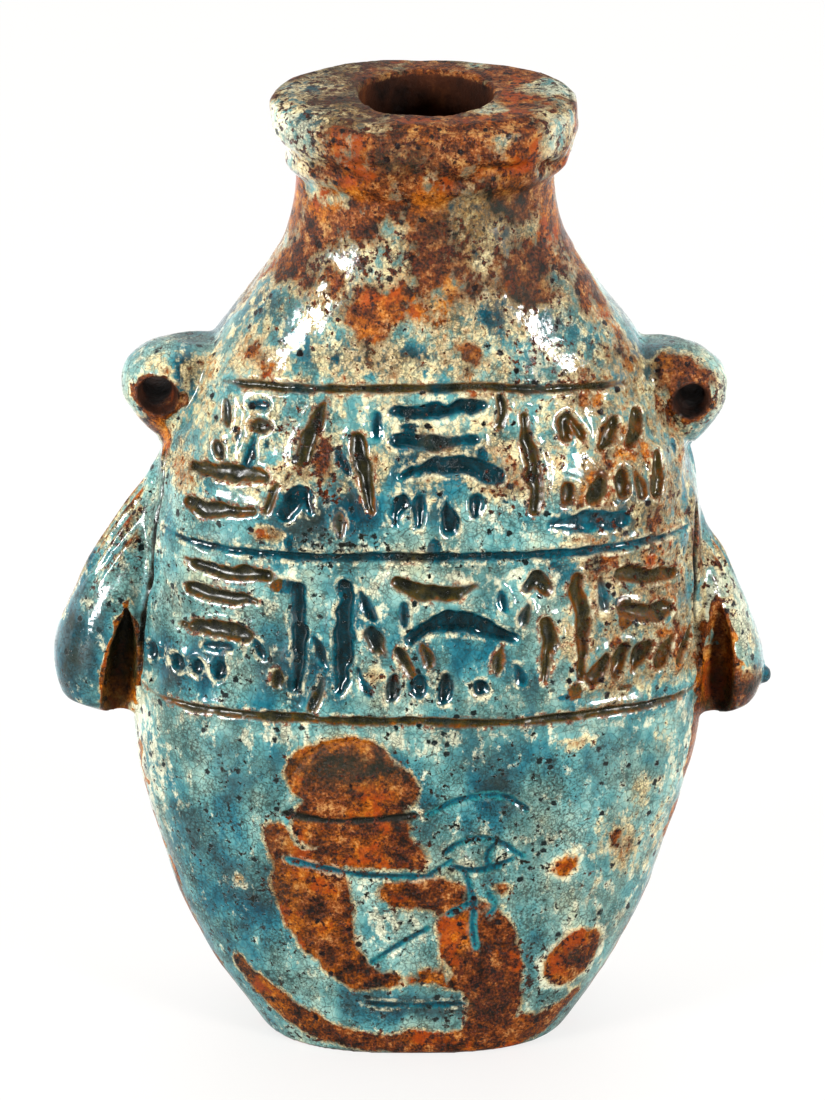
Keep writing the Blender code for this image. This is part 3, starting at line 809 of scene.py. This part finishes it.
def thin_out(jar):
    """Fewer triangles, first inside, where only the mouth lets anyone look, then wherever it's smooth."""
    places = vertex_places(jar.data)
    _, outside = feet_on_wall(places)
    inner = np.nonzero((outside < -3.0) & (places[:, 2] < JAR_TOP - 6))[0]
    group = jar.vertex_groups.new(name="inner")
    group.add(inner.tolist(), 1.0, "REPLACE")
    inner_share = len(inner) / len(places)
    first = jar.modifiers.new("thin inside", "DECIMATE")
    first.vertex_group = "inner"
    first.ratio = 1 - inner_share * (1 - INSIDE_SHARE)
    settle(jar)
    jar.vertex_groups.clear()
    jar.data.calc_loop_triangles()
    triangles = len(jar.data.loop_triangles)
    if triangles > MOST_TRIANGLES:
        second = jar.modifiers.new("thin all", "DECIMATE")
        second.ratio = MOST_TRIANGLES / triangles
        settle(jar)
    place_vertices(jar.data, vertex_places(jar.data))


# Where the iron-stained body shows through: (across, height, half width) along each band
RUST_BANDS = {
    "head": [(-0.35, 48.6, 4.7), (-0.21, 49.5, 5.4), (-0.07, 46.2, 3.8)],
    "chest": [(-0.34, 40.4, 4.2), (-0.11, 40.0, 4.4)],
    "waist": [(-0.30, 36.0, 2.4), (0.0, 35.2, 2.1)],
    "left_arm": [
        (-0.50, 38.2, 1.8), (-0.48, 34.7, 2.4), (-0.41, 29.7, 5.9), (-0.39, 25.5, 5.8),
        (-0.37, 21.5, 4.5),
    ],
    "left_knee": [(-0.37, 21.5, 4.5), (-0.33, 18.0, 3.3), (-0.26, 14.2, 2.8), (-0.10, 13.7, 1.3)],
    "right_arm": [(-0.08, 28.7, 2.2), (0.08, 28.7, 2.6), (0.18, 27.2, 2.7), (0.24, 24.2, 3.3)],
    "right_leg": [
        (0.24, 22.7, 5.2), (0.28, 19.7, 6.0), (0.35, 15.2, 5.2), (0.40, 10.7, 4.4), (0.42, 5.2, 3.6),
    ],
    "lap": [(-0.02, 13.7, 0.8), (0.10, 14.5, 1.2), (0.22, 12.7, 1.0)],
    "ankle": [
        (-0.82, 14.0, 1.0), (-0.78, 10.2, 2.1), (-0.68, 6.8, 2.4), (-0.51, 3.6, 1.9), (-0.22, 2.2, 1.7),
    ],
    "sole": [(-0.22, 2.2, 1.7), (0.19, 2.0, 2.2), (0.55, 3.4, 3.2), (0.74, 4.0, 2.2), (0.85, 8.0, 1.0)],
    "spot_low": [(0.71, 14.6, 4.0), (0.75, 16.4, 4.0)],
    "spot_right": [(0.57, 31.9, 1.3), (0.60, 32.7, 1.1)],
    "spot_edge": [(0.75, 36.2, 1.0), (0.76, 34.7, 1.0)],
    "spot_left": [(-0.69, 29.0, 0.7), (-0.68, 29.0, 0.7)],
    "spot_knee": [(0.33, 29.5, 0.9), (0.35, 29.2, 0.9)],
}
RUST_FADE = 2.6
RIMMED_SPOTS = ("spot_low", "spot_right", "spot_edge", "spot_left")


def band_gap(places, name):
    """How far places are outside one of the rust bands."""
    across, height, half = np.array(RUST_BANDS[name], float).T
    return gap_to_path(places, on_wall(across, height), half)


def rust_cover(feet):
    """1 well inside the bare, iron-stained patches, 0.5 at their borders and 0 outside."""
    shares = [0.5 - band_gap(feet, name) / (2 * RUST_FADE) for name in RUST_BANDS]
    return np.clip(np.maximum.reduce(shares), 0.0, 1.0)


def pale_rims(places):
    """Broken pale rims round some of the small bare spots."""
    rims = [np.exp(-(((band_gap(places, name) - 0.2) / 0.9) ** 2)) for name in RIMMED_SPOTS]
    return np.maximum.reduce(rims) * smooth_step(0.1, 0.4, value_noise(places, 1.5, 17))


# Broad changes of tone on the front, as (x, height, half width, half height, strength) clouds
STAINS = {
    "deep": [
        (-17.0, 90, 5, 4, 1.0), (-9.0, 91, 4, 5, 0.8), (1.5, 92, 5, 4, 0.7), (27.0, 89, 9, 2.5, 0.8),
        (4.0, 99, 8, 3, 0.8), (-36.0, 63, 6, 4, 0.8), (-16.0, 67, 6, 7, 0.7), (-10.5, 77, 3, 7, 0.65),
        (6.5, 69, 9, 4, 0.6), (18.0, 64, 2, 3, 0.6), (23.0, 81, 3, 2, 0.6), (-4.5, 114, 11, 2, 1.0),
        (35.0, 110, 4, 3, 0.6), (-34.0, 43, 11, 12, 0.35), (-26.5, 26, 8, 15, 0.5),
        (13.0, 50, 11, 7, 0.5), (24.5, 15.8, 1.0, 1.0, 1.0), (0.5, 9, 8, 2, 0.9), (9.5, 134, 6, 6, 1.0),
        (13.5, 122, 6, 5, 0.8), (-24.0, 122, 4, 6, 0.5), (-10.0, 50, 8, 3, 0.9),
        (-34.5, 108, 1.5, 4, 0.9), (-54.0, 62, 5, 8, 1.0), (54.0, 56, 3, 3, 1.0), (-2.0, 145, 6, 3, 0.8),
        (-12.0, 150, 8, 1.2, 0.9),
    ],
    "pale": [
        (0.0, 112, 34, 8, 0.5), (4.0, 105, 14, 3, 0.7), (16.0, 98, 8, 5, 0.7), (24.0, 107, 9, 2, 0.6),
        (10.0, 115, 6, 2, 0.7), (1.0, 81, 34, 1.5, 0.6), (1.5, 54.5, 37, 2, 0.7), (-4.0, 22, 7, 7, 0.4),
        (10.0, 34, 5, 2, 0.5), (-18.0, 130, 3, 5, 0.6), (8.5, 123, 4, 3, 0.5), (24.0, 126, 4, 3, 0.5),
        (-24.0, 95, 6, 4, 0.5), (34.0, 32, 8, 15, 0.4), (28.0, 84, 12, 26, 0.5),
        (-5.0, 84, 26, 26, 0.35), (50.0, 70, 6, 12, 1.0), (27.0, 98, 10, 6, 0.5), (-6.5, 77, 5, 8, 0.5),
        (-2.0, 63, 6, 4, 0.5), (-30.0, 114, 8, 6, 0.7), (-42.0, 106, 6, 6, 0.7), (-50.0, 75, 4, 10, 0.4),
        (-42.5, 45, 5, 16, 1.0), (41.0, 46, 3, 12, 0.6), (47.0, 104, 8, 7, 0.9), (-16.0, 32, 8, 14, 0.3),
    ],
    "rust": [
        (-9.0, 133, 8, 5, 0.62), (2.5, 127, 7, 6, 0.6), (-2.0, 121, 11, 3, 0.56),
        (22.0, 134, 4, 5, 0.56), (28.5, 118, 5, 8, 0.55), (-13.5, 99, 2.5, 6, 0.62),
        (-33.5, 93, 6, 6, 0.48), (-22.0, 87, 4, 2, 0.6), (34.0, 68, 9, 9, 0.44),
        (28.5, 58.5, 11, 2, 0.52), (39.5, 73, 4, 15, 0.5), (24.5, 53, 9, 2, 0.45),
        (31.0, 34, 9, 12, 0.43), (34.5, 99, 6, 9, 0.42), (-16.0, 123, 5, 6, 0.5), (9.0, 115, 4, 2, 0.52),
        (-5.5, 65, 4, 3, 0.42), (34.0, 124, 4, 6, 0.5), (45.0, 107, 7, 5, 0.6), (46.0, 92, 4, 6, 0.55),
        (-40.0, 96.5, 3.5, 4, 0.9), (-39.0, 95, 2.5, 3, 0.5), (46.0, 79, 3, 6, 0.65),
        (50.0, 71, 3, 5, 0.5), (53.0, 64, 2, 5, 0.55), (51.5, 55, 5, 4.5, 0.72), (39.5, 108, 5, 5, 0.75),
        (-46.0, 56, 3, 9, 0.6), (-44.5, 85, 3, 6, 0.65), (-49.0, 77, 3, 5, 0.6),
    ],
    "grime_and_shade": [
        (-12.5, 86, 7, 3, 1.0), (1.0, 130, 18, 5, 0.9), (0.0, 2.5, 30, 3, 0.8), (16.5, 96, 6, 5, 0.8),
        (-19.0, 104, 4, 4, 0.7), (-14.0, 98, 4, 7, 1.0), (-25.0, 70, 7, 8, 0.5), (2.0, 84, 12, 3, 0.7),
        (19.5, 113, 8, 5, 0.8), (-33.0, 74, 10, 4, 0.5), (-10.0, 125, 12, 9, 0.8),
        (20.0, 125, 12, 9, 0.8), (32.0, 78, 9, 16, 0.6), (-3.0, 64, 8, 4, 0.7), (10.0, 48, 16, 5, 0.5),
        (28.0, 30, 10, 10, 0.3), (13.0, 12, 9, 11, 1.0), (24.5, 15.5, 4, 4, 1.0),
        (-6.0, 34, 32, 24, 0.6), (-48.0, 85, 9, 13, 1.0), (49.0, 80, 8, 12, 1.0), (50.0, 53, 5, 4, 1.0),
        (46.0, 104, 8, 8, 0.9),
    ],
}


def stain(places, kind):
    """How strongly the front is stained at each place, from 0 to 1."""
    clouds = []
    for x, height, wide, high, strength in STAINS[kind]:
        far = ((places[:, 0] - x) / wide) ** 2 + ((places[:, 2] - height) / high) ** 2
        clouds.append(strength * np.exp(-0.7 * far))
    return np.maximum.reduce(clouds)


def read_surface(jar, grooves):
    """Stores what the material needs to know about each place on the jar."""
    mesh = jar.data
    places = vertex_places(mesh)
    x, y, height = places.T
    feet, outside = feet_on_wall(places)
    gap, _, sunk, brown = read_grooves(feet, grooves)
    hole = hole_gap(places)
    channel_edge = channel_gap(places)
    broad = value_noise(places, 21.0, 11)
    patchy = value_noise(places, 8.0, 12)
    mottled = value_noise(places, 5.0, 18)
    ragged = waves(places, RAGGED_WAVES)

    # Parts of the jar: each is 1 where a place belongs to it and 0 elsewhere
    lip = smooth_step(BODY_TOP - 1, LIP_BOTTOM + 1, height)
    neck = smooth_step(112, 122, height + 14 * (patchy - 0.5))
    front = np.maximum(lip, smooth_step(2.0, -6.0, y))
    back = 1 - front
    side = smooth_step(0.6, 2.0, outside)
    on_body = smooth_step(2.0, 0.8, np.abs(outside))
    rows = smooth_step(58, 61, height) * smooth_step(110, 106, height) * on_body * front
    inner = smooth_step(-2.0, -4.0, outside) * (height < JAR_TOP - 0.7)
    under = smooth_step(0.5, 0.1, height)
    right = front * (1 - side)

    # How near the rust-brown body is to showing
    rust = np.maximum.reduce([
        rust_cover(feet) * front * on_body,
        stain(places, "rust") * front,
        back * 0.75 * smooth_step(6.5, 2.0, height + 5 * (broad - 0.5)),
        back * 0.55 * smooth_step(0.55, 0.85, broad),
        neck * (0.36 + 0.34 * mottled),
        0.42 * smooth_step(84, 96, height) * front,
        0.49 * smooth_step(12, 28, x) * smooth_step(50, 62, height) * right,
        0.35 * smooth_step(26, 36, x) * right,
    ])
    lip_ends = smooth_step(12, 19, np.abs(x - LEAN))
    rust = rust * (1 - lip) + lip * (0.29 + 0.25 * patchy + 0.3 * mottled - 0.16 * lip_ends)
    streaks = 0.5 + 0.5 * rib_wave(places)
    rust = np.maximum.reduce([
        rust,
        side * 0.5 * smooth_step(0.5, 0.85, patchy),
        0.8 * smooth_step(1.8, 0.2, hole + ragged),
        0.85 * smooth_step(1.4, 0.2, channel_edge + 0.7 * ragged),
        (0.3 + 0.22 * streaks) * side * smooth_step(68, 78, height) * smooth_step(97, 92, height),
    ])

    # Pools lie in the grooves, in blots between the strokes and in the scooped channels
    groove_gap = np.where(np.abs(outside) < 2.2, gap, GROOVE_REACH)
    blots = smooth_step(0.62, 0.9, value_noise(places, 3.6, 23)) * rows
    groove_gap = np.minimum(groove_gap, GROOVE_REACH - 3.4 * blots)
    sunk = np.maximum(sunk, 0.4 * blots) * (1 - 0.5 * smooth_step(8, 26, x) * rows)
    scoop = channel_edge + np.where(x < 0, -0.1, 0.2)
    in_scoop = scoop < groove_gap
    groove_gap = np.where(in_scoop, scoop, groove_gap)
    sunk = np.where(in_scoop, 0.0, sunk)
    brown = np.where(in_scoop, 1.3, brown)

    # Stains on the front are placed one by one, and those elsewhere follow broad noise
    drip = np.linalg.norm(places - drip_middle(), axis=1) - DRIP_RADIUS
    deep = [back * 0.6 * smooth_step(0.5, 0.8, patchy) * (1 - lip), smooth_step(0.8, 0.1, drip)]
    pale = [back * 0.6 * smooth_step(0.5, 0.2, broad), 0.4 * neck, 0.75 * lip]
    # Grime is dirt, and round and inside the cord holes it is painted shade that darkens the bare body there
    grime_and_shade = [back * 0.5 * smooth_step(0.4, 0.7, broad), 0.7 * lip, smooth_step(1.0, 0.0, hole)]
    elsewhere = {
        "deep": np.maximum.reduce(deep),
        "pale": np.maximum.reduce(pale) + 1.3 * pale_rims(places),
        "grime_and_shade": np.maximum.reduce(grime_and_shade),
    }
    for kind, strength in elsewhere.items():
        store(mesh, kind, np.maximum(stain(places, kind) * front, strength))
    store(mesh, "groove_gap", groove_gap)
    store(mesh, "groove_sunk", sunk)
    store(mesh, "groove_brown", brown)
    store(mesh, "rust", np.clip(rust, 0.0, 1.0))
    store(mesh, "bare", np.maximum.reduce([inner, under, smooth_step(0.5, 0.0, hole)]))
    store(mesh, "worn", smooth_step(JAR_TOP - 1.8, JAR_TOP - 0.6, height))


# What the material reads from the skin, which read_surface stores
STORED = ("groove_gap", "groove_sunk", "groove_brown", "rust", "pale", "deep", "grime_and_shade", "bare", "worn")

# The glaze's patterns: the distance in millimetres over which each changes, its detail and its roughness.
# Dust is finer than this on the real jar, and is drawn as coarse as it needs to show
PATTERNS = {
    "clouds": (6.5, 6.0, 0.6),
    "flecks": (2.1, 6.0, 0.7),
    "grain": (1.1, 5.0, 0.65),
    "dust": (0.4, 3.0, 0.6),
    "smoke": (9.0, 5.0, 0.65),
    "burns": (3.0, 6.0, 0.72),
    "blends": (7.0, 4.0, 0.55),
    "film": (5.0, 4.0, 0.7),
    "crack_patches": (4.5, 4.0, 0.65),
    "orange_peel": (2.4, 2.0, 0.55),
    "crack_bend": (1.6, 3.0, 0.55),
}
# Clouds and flecks are drawn out downwards, as the glaze ran
RUNNING = ("clouds", "flecks")
RUN = (1.0, 1.0, 0.65)

# The meshes of the two nets of cracks, how far they wander, and the mesh of the net that specks sit in. The
# fine cracks are closer together on the real jar, and are drawn as coarse as they need to show
CRACKLE = 1.5
FINE_CRACKLE = 0.7
CRACK_SHIFT = 0.9
SPECK_NET = 2.4

# The tones of each part, from where its number is low to where it is high
TONES = {
    "glaze": (
        (0.28, "#06282F"), (0.40, "#0A4352"), (0.54, "#286A76"), (0.67, "#598E8E"), (0.80, "#8AACA3"),
        (0.95, "#B4BCA0"),
    ),
    "umber": ((0.40, "#0C0603"), (0.47, "#221006"), (0.55, "#4A220A"), (0.66, "#804214"), (0.8, "#B48A54")),
    "ochre": ((0.40, "#1A0E04"), (0.47, "#4A2406"), (0.55, "#7E4004"), (0.66, "#B2680A"), (0.8, "#CC9444")),
    "wash": ((0.42, "#7A5A28"), (0.5, "#B08038"), (0.58, "#D8C48C")),
    "teal_pool": ((0.3, "#2C7678"), (0.48, "#0F5866"), (0.66, "#083A44"), (0.92, "#041E24")),
    "brown_pool": (
        (0.3, "#8A5A20"), (0.46, "#6A3C10"), (0.6, "#4A3E1C"), (0.76, "#2C2A18"), (0.95, "#14150E"),
    ),
    "rusty_grit": ((0.4, "#20120C"), (0.6, "#5E2A12")),
    # The bare body's brown is its own, and its near-black tones are painted shade for inside the cord holes
    "shaded_raw_body": ((0.1, "#0A0503"), (0.36, "#4A2612"), (0.6, "#8A5228")),
}

GLAZE_IOR = 1.52
GLAZE_ROUGHNESS = 0.07
BUMP_STRENGTH = 0.9
BUMP_HEIGHT = 0.25


def crackled_glaze():
    """Alkaline copper glaze, dipped and fired on an iron-bearing body, then buried and stained.

    To the eye: a wet-looking turquoise that is cream where it is thin and deep teal where it pools, under a
    net of fine dark cracks, with rust-brown body where the glaze has crawled away or worn off.
    """
    material = bpy.data.materials.new("crackled_turquoise_glaze")
    material.use_nodes = True
    tree = material.node_tree
    tree.nodes.clear()
    per_mm = 1 / MM

    def total(base, *parts):
        """A base with each (number, weight) added to it."""
        for part, weight in parts:
            inputs = {0: part, 1: weight, 2: base}
            base = add(tree, "ShaderNodeMath", inputs, operation="MULTIPLY_ADD").outputs[0]
        return base

    def strongest(most, *others):
        for other in others:
            most = add(tree, "ShaderNodeMath", {0: most, 1: other}, operation="MAXIMUM").outputs[0]
        return most

    def where(*conditions):
        """How far each place meets all the conditions, from 0 to 1.

        (number, low, high) goes from 0 at low to 1 at high, and where low and high are (place, share) pairs,
        from the one share to the other. Anything else is a share already.
        """
        shares = []
        for condition in conditions:
            if isinstance(condition, tuple):
                number, low, high = condition
                if isinstance(low, tuple):
                    node = add(tree, "ShaderNodeValToRGB", {"Fac": number}, stops=(low, high))
                else:
                    limits = {"Value": number, "From Min": low, "From Max": high}
                    node = add(tree, "ShaderNodeMapRange", limits)
                condition = node.outputs[0]
            shares.append(condition)
        met, *others = shares
        for other in others:
            met = add(tree, "ShaderNodeMath", {0: met, 1: other}, operation="MULTIPLY").outputs[0]
        return met

    def coated(colour, *coats):
        """A colour with each (share, colour) laid over it in turn."""
        for share, above in coats:
            inputs = {0: share, 6: colour, 7: above}
            colour = add(tree, "ShaderNodeMix", inputs, data_type="RGBA").outputs[2]
        return colour

    place = add(tree, "ShaderNodeTexCoord").outputs["Object"]
    run_down = add(tree, "ShaderNodeVectorMath", {0: place, 1: RUN}, operation="MULTIPLY").outputs[0]
    gap, sunk, brown, rust, pale, deep, grime_and_shade, bare, worn = (
        add(tree, "ShaderNodeAttribute", attribute_name=name).outputs["Fac"] for name in STORED
    )
    patterns = {}
    for name, (cell, detail, roughness) in PATTERNS.items():
        at = run_down if name in RUNNING else place
        inputs = {"Vector": at, "Scale": per_mm / cell, "Detail": detail, "Roughness": roughness}
        patterns[name] = add(tree, "ShaderNodeTexNoise", inputs)
    bend = patterns.pop("crack_bend").outputs["Color"]
    clouds, flecks, grain, dust, smoke, burns, blends, film, patches, peel = (
        pattern.outputs["Fac"] for pattern in patterns.values()
    )

    # What sets the tone of each part: in a groove, how far in the place is and what fills the groove
    burnt = total(-0.185, (burns, 1.1), (dust, 0.4), (pale, 0.08))
    darker = strongest(total(-1.0, (brown, 1.0)), 0.0)
    lighter = add(tree, "ShaderNodeMath", {0: brown, 1: 0.0}, operation="MINIMUM").outputs[0]
    filling = total(-0.15, (sunk, 0.38), (flecks, 1.2), (darker, 1.0), (lighter, 0.4))
    numbers = {
        "glaze": total(clouds, (flecks, 0.3), (grain, 0.15), (pale, 0.13), (deep, -0.44)),
        "umber": burnt,
        "ochre": burnt,
        "wash": flecks,
        "teal_pool": filling,
        "brown_pool": filling,
        "rusty_grit": dust,
        # The bare body darkens with the grime number, which inside the cord holes is painted shade
        "shaded_raw_body": total(clouds, (grime_and_shade, -0.3)),
    }
    tones = {}
    for name, number in numbers.items():
        tones[name] = add(tree, "ShaderNodeValToRGB", {"Fac": number}, stops=TONES[name]).outputs["Color"]

    # The glaze, from deep pools to a thin pale coat, with flecks of cream and an olive smoke from burial
    cream = where((total(flecks, (pale, 0.2), (grime_and_shade, 0.07), (deep, -0.1)), (0.60, 0.0), (0.68, 0.85)))
    smoky = where((total(smoke, (grime_and_shade, 0.15)), (0.46, 0.0), (0.64, 0.36)))
    glaze = coated(tones["glaze"], (cream, "#D6D4B9"), (smoky, "#57553E"))

    # Iron-stained body, with a broken pale rim of glaze round it
    bared_at = total(rust, (clouds, 0.6), (flecks, 0.45), (grain, 0.25))
    bared = where((bared_at, 1.12, 1.19))
    wash = where((bared_at, 1.02, 1.13), 0.7)
    broken = where((grain, (0.45, 0.0), (0.58, 0.85)), (clouds, (0.44, 0.1), (0.54, 1.0)))
    halo = where((bared_at, 1.03, 1.12), broken)
    yellowed = where((total(blends, (grime_and_shade, -0.22)), (0.38, 0.0), (0.5, 1.0)))
    reddened = where((total(blends, (flecks, 0.3)), (0.72, 0.0), (0.79, 0.85)))
    blackened = where(deep, (grain, (0.36, 0.3), (0.5, 0.95)))
    rusty = coated(tones["umber"], (yellowed, tones["ochre"]), (reddened, "#923C08"), (blackened, "#222C22"))

    # Pools in the carving: teal in the middle of the face and rust to olive towards its sides
    ragged = total(gap, (grain, 0.5), (flecks, 0.5), (clouds, 0.6))
    brownness = where((total(brown, (clouds, 1.2)), 0.98, 1.2))
    pool = where((ragged, 1.05, 0.65), (brown, -1.6, -1.0))
    edged = where((flecks, (0.48, 0.0), (0.56, 0.9)), (brown, -0.7, 0.0), (brown, 1.3, 1.15))
    edge = where((ragged, 1.6, 1.25), edged)
    edge_rust = where(brownness, (grain, (0.45, 0.0), (0.52, 1.0)))

    # Grit caught in the surface, and a broken dark film over all of it
    grit = where((total(grain, (grime_and_shade, 0.16), (flecks, 0.2)), 0.75, 0.79))
    # The film also thickens with the grime number, which in the cord holes is painted shade
    dirty = where(
        (dust, (0.40, 0.65), (0.52, 0.0)),
        (total(film, (grime_and_shade, 0.12)), (0.42, 0.15), (0.58, 1.0)),
        (pale, 0.9, 0.1),
        total(1.0, (bared, -0.5)),
    )

    # The net of cracks, which wander, and which are strongest where the coat is thick
    shift = add(tree, "ShaderNodeVectorMath", {0: bend, 1: (CRACK_SHIFT * MM,) * 3}, operation="MULTIPLY")
    bent = add(tree, "ShaderNodeVectorMath", {0: place, 1: shift.outputs[0]}, operation="ADD").outputs[0]
    nets = []
    for cell in (CRACKLE, FINE_CRACKLE):
        inputs = {"Vector": bent, "Scale": per_mm / cell}
        net = add(tree, "ShaderNodeTexVoronoi", inputs, feature="DISTANCE_TO_EDGE")
        nets.append(net.outputs["Distance"])
    coarse = where((nets[0], 0.05, 0.01), (clouds, (0.35, 0.35), (0.6, 0.9)))
    fine = where((nets[1], 0.13, 0.02), (total(patches, (grime_and_shade, 0.1)), (0.48, 0.0), (0.63, 0.9)))
    crack = where(strongest(coarse, fine), total(0.8, (bared, -0.65)))

    # Specks and pinholes, one in some of the cells of a loose net
    specks = add(tree, "ShaderNodeTexVoronoi", {"Vector": place, "Scale": per_mm / SPECK_NET}).outputs
    speck_gap = total(specks["Distance"], (grain, 0.5), (dust, 0.3))
    speck = where((speck_gap, 0.64, 0.56), (specks["Color"], (0.53, 0.0), (0.57, 1.0)))

    # All of it laid over the glaze, and last the bare body inside, underneath and in the cord holes, whose
    # brown is its own and whose darkest tones are painted shade
    colour = coated(
        glaze,
        (wash, tones["wash"]),
        (halo, "#DCCBA0"),
        (bared, rusty),
        (edge, coated("#D3CBAA", (edge_rust, "#7E3C18"))),
        (pool, coated(tones["teal_pool"], (brownness, tones["brown_pool"]))),
        (grit, coated("#161A16", (where((rust, 0.15, 0.4)), tones["rusty_grit"]))),
        (dirty, "#1E231C"),
        (crack, "#10130F"),
        (speck, coated("#14201F", (where((rust, 0.3, 0.5)), "#1A0E0A"))),
        (bare, tones["shaded_raw_body"]),
    )

    # Glassy, and duller on bared body, on fill, along cracks, on the worn lip and where there was no glaze
    filled = where(pool, brownness)
    roughness = GLAZE_ROUGHNESS
    for share, dulled in ((bared, 0.2), (filled, 0.24), (crack, 0.5), (worn, 0.6), (bare, 0.7)):
        inputs = {0: share, 2: roughness, 3: dulled}
        roughness = add(tree, "ShaderNodeMix", inputs, data_type="FLOAT").outputs[0]
    dull = strongest(where(filled, 0.6), bared, worn, crack)
    shine = add(tree, "ShaderNodeMix", {0: dull, 2: 0.5, 3: 0.2}, data_type="FLOAT").outputs[0]

    # Height: pinholes sink, the bared body is grainy, and the glaze has a soft orange peel
    grainy = where(bared, total(0.0, (grain, 1.8), (dust, 0.8)))
    height = total(0.0, (peel, 0.5), (speck, -0.4), (bared, -0.5), (grit, 0.15), (grainy, 1.0))
    bumps = {"Strength": BUMP_STRENGTH, "Distance": BUMP_HEIGHT * MM, "Height": height}
    surface = {
        "Base Color": colour,
        "Roughness": roughness,
        "Normal": add(tree, "ShaderNodeBump", bumps).outputs["Normal"],
        "IOR": GLAZE_IOR,
        "Specular IOR Level": shine,
    }
    shader = add(tree, "ShaderNodeBsdfPrincipled", surface)
    add(tree, "ShaderNodeOutputMaterial", {"Surface": shader.outputs[0]})
    return material


def make_jar():
    """One skin over all the forms, carved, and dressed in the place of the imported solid."""
    material = crackled_glaze()
    forms = [make_vessel(), make_drip()]
    for side in SIDES:
        forms += [make_lug(side), make_lobe(side)]
    jar = join_forms(forms)
    jar.data.materials.append(material)
    scatter_crumbs(jar, material)
    fuse(jar)
    grooves = all_grooves()
    carve(jar, grooves)
    thin_out(jar)
    read_surface(jar, grooves)
    jar.data.materials.clear()
    jar.data.materials.append(material)
    jar.data.shade_smooth()
    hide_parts("jar")
    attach(jar, "root")


# The studio, in metres and watts: place, size and power of each light
LIGHTS = {
    "left_softbox": ((-0.66, -0.46, 0.26), (0.22, 0.38), 9.5),
    "right_softbox": ((0.6, -0.52, 0.28), (0.18, 0.32), 8.2),
    "overhead": ((0.0, 0.1, 0.9), (0.7, 0.7), 1.2),
}
TABLE_RADIUS = 4.0
# The jar mirrors a table and a sweep that are dim in front of it and bright behind it
DIM_TO_BRIGHT = {"To Min": 0.03, "To Max": 1.1}
TABLE_FADE = {"From Min": -0.06, "From Max": 0.12, **DIM_TO_BRIGHT}
SWEEP_FADE = {"From Min": -0.42, "From Max": 0.3, **DIM_TO_BRIGHT}
# The camera sees the table as plain white, with a faint shadow at the foot
TABLE_AS_SEEN = 0.66
# The photograph's contrast: bright whites over deep, rich darks
EXPOSURE = 0.25
GAMMA = 0.88

WHITE = (1.0, 1.0, 1.0, 1.0)


def make_table():
    """A white, matt table that the jar mirrors as dark in front and bright behind."""
    bm = bmesh.new()
    bmesh.ops.create_circle(bm, cap_ends=True, segments=64, radius=TABLE_RADIUS)
    table = new_object("floor", bm)
    if table.data.polygons[0].normal.z < 0:
        table.data.flip_normals()
    material = bpy.data.materials.new("backlit_acrylic_table")
    material.use_nodes = True
    tree = material.node_tree
    shader = tree.nodes["Principled BSDF"]
    shader.inputs["Base Color"].default_value = linear("#605C58")
    shader.inputs["Roughness"].default_value = 0.6
    shader.inputs["Emission Color"].default_value = WHITE
    place = add(tree, "ShaderNodeSeparateXYZ", {0: add(tree, "ShaderNodeTexCoord").outputs["Object"]})
    mirrored = add(tree, "ShaderNodeMapRange", {"Value": place.outputs["Y"], **TABLE_FADE}).outputs[0]
    seen = add(tree, "ShaderNodeLightPath").outputs["Is Camera Ray"]
    glow = add(tree, "ShaderNodeMix", {0: seen, 2: mirrored, 3: TABLE_AS_SEEN}, data_type="FLOAT")
    tree.links.new(glow.outputs[0], shader.inputs["Emission Strength"])
    table.data.materials.append(material)


def aimed(obj, place, target):
    """Puts a light or camera at a place, looking at the target."""
    bpy.context.scene.collection.objects.link(obj)
    obj.location = place
    obj.rotation_euler = (Vector(target) - Vector(place)).to_track_quat("-Z", "Y").to_euler()


def make_lights():
    for name, (place, size, power) in LIGHTS.items():
        light = bpy.data.lights.new(name, "AREA")
        light.shape = "RECTANGLE"
        light.size, light.size_y = size
        light.energy = power
        aimed(bpy.data.objects.new(name, light), place, (0.0, 0.0, 80 * MM))


def make_sweep():
    """A white sweep round the jar, which lights its edges from behind."""
    world = bpy.data.worlds.new("white_sweep")
    world.use_nodes = True
    bpy.context.scene.world = world
    tree = world.node_tree
    tree.nodes.clear()
    towards = add(tree, "ShaderNodeSeparateXYZ", {0: add(tree, "ShaderNodeTexCoord").outputs["Generated"]})
    mirrored = add(tree, "ShaderNodeMapRange", {"Value": towards.outputs["Y"], **SWEEP_FADE}).outputs[0]
    lit = add(tree, "ShaderNodeBackground", {"Color": WHITE, "Strength": mirrored})
    seen = add(tree, "ShaderNodeBackground", {"Color": WHITE, "Strength": 1.0})
    rays = add(tree, "ShaderNodeLightPath").outputs["Is Camera Ray"]
    mixed = add(tree, "ShaderNodeMixShader", {0: rays, 1: lit.outputs[0], 2: seen.outputs[0]})
    add(tree, "ShaderNodeOutputWorld", {"Surface": mixed.outputs[0]})


# The photograph's view: 22.5 degrees above the horizon, square to the front, from 1.2 m
ELEVATION = 22.5
DISTANCE = 1200.0
AIM = (-0.1, 0.0, 75.9)
FOCAL_PIXELS = 7843
FRAME_HEIGHT_PIXELS = 1100
SENSOR = 36.0


def make_camera():
    aim = Vector(AIM) * MM
    tilt = math.radians(ELEVATION)
    camera = bpy.data.cameras.new("camera")
    camera.sensor_width = SENSOR
    camera.lens = SENSOR * FOCAL_PIXELS / FRAME_HEIGHT_PIXELS
    obj = bpy.data.objects.new("camera", camera)
    aimed(obj, aim + Vector((0, -math.cos(tilt), math.sin(tilt))) * DISTANCE * MM, aim)
    bpy.context.scene.camera = obj


view = bpy.context.scene.view_settings
view.view_transform = "Standard"
view.exposure = EXPOSURE
view.gamma = GAMMA
make_camera()
make_jar()
make_table()
make_lights()
make_sweep()
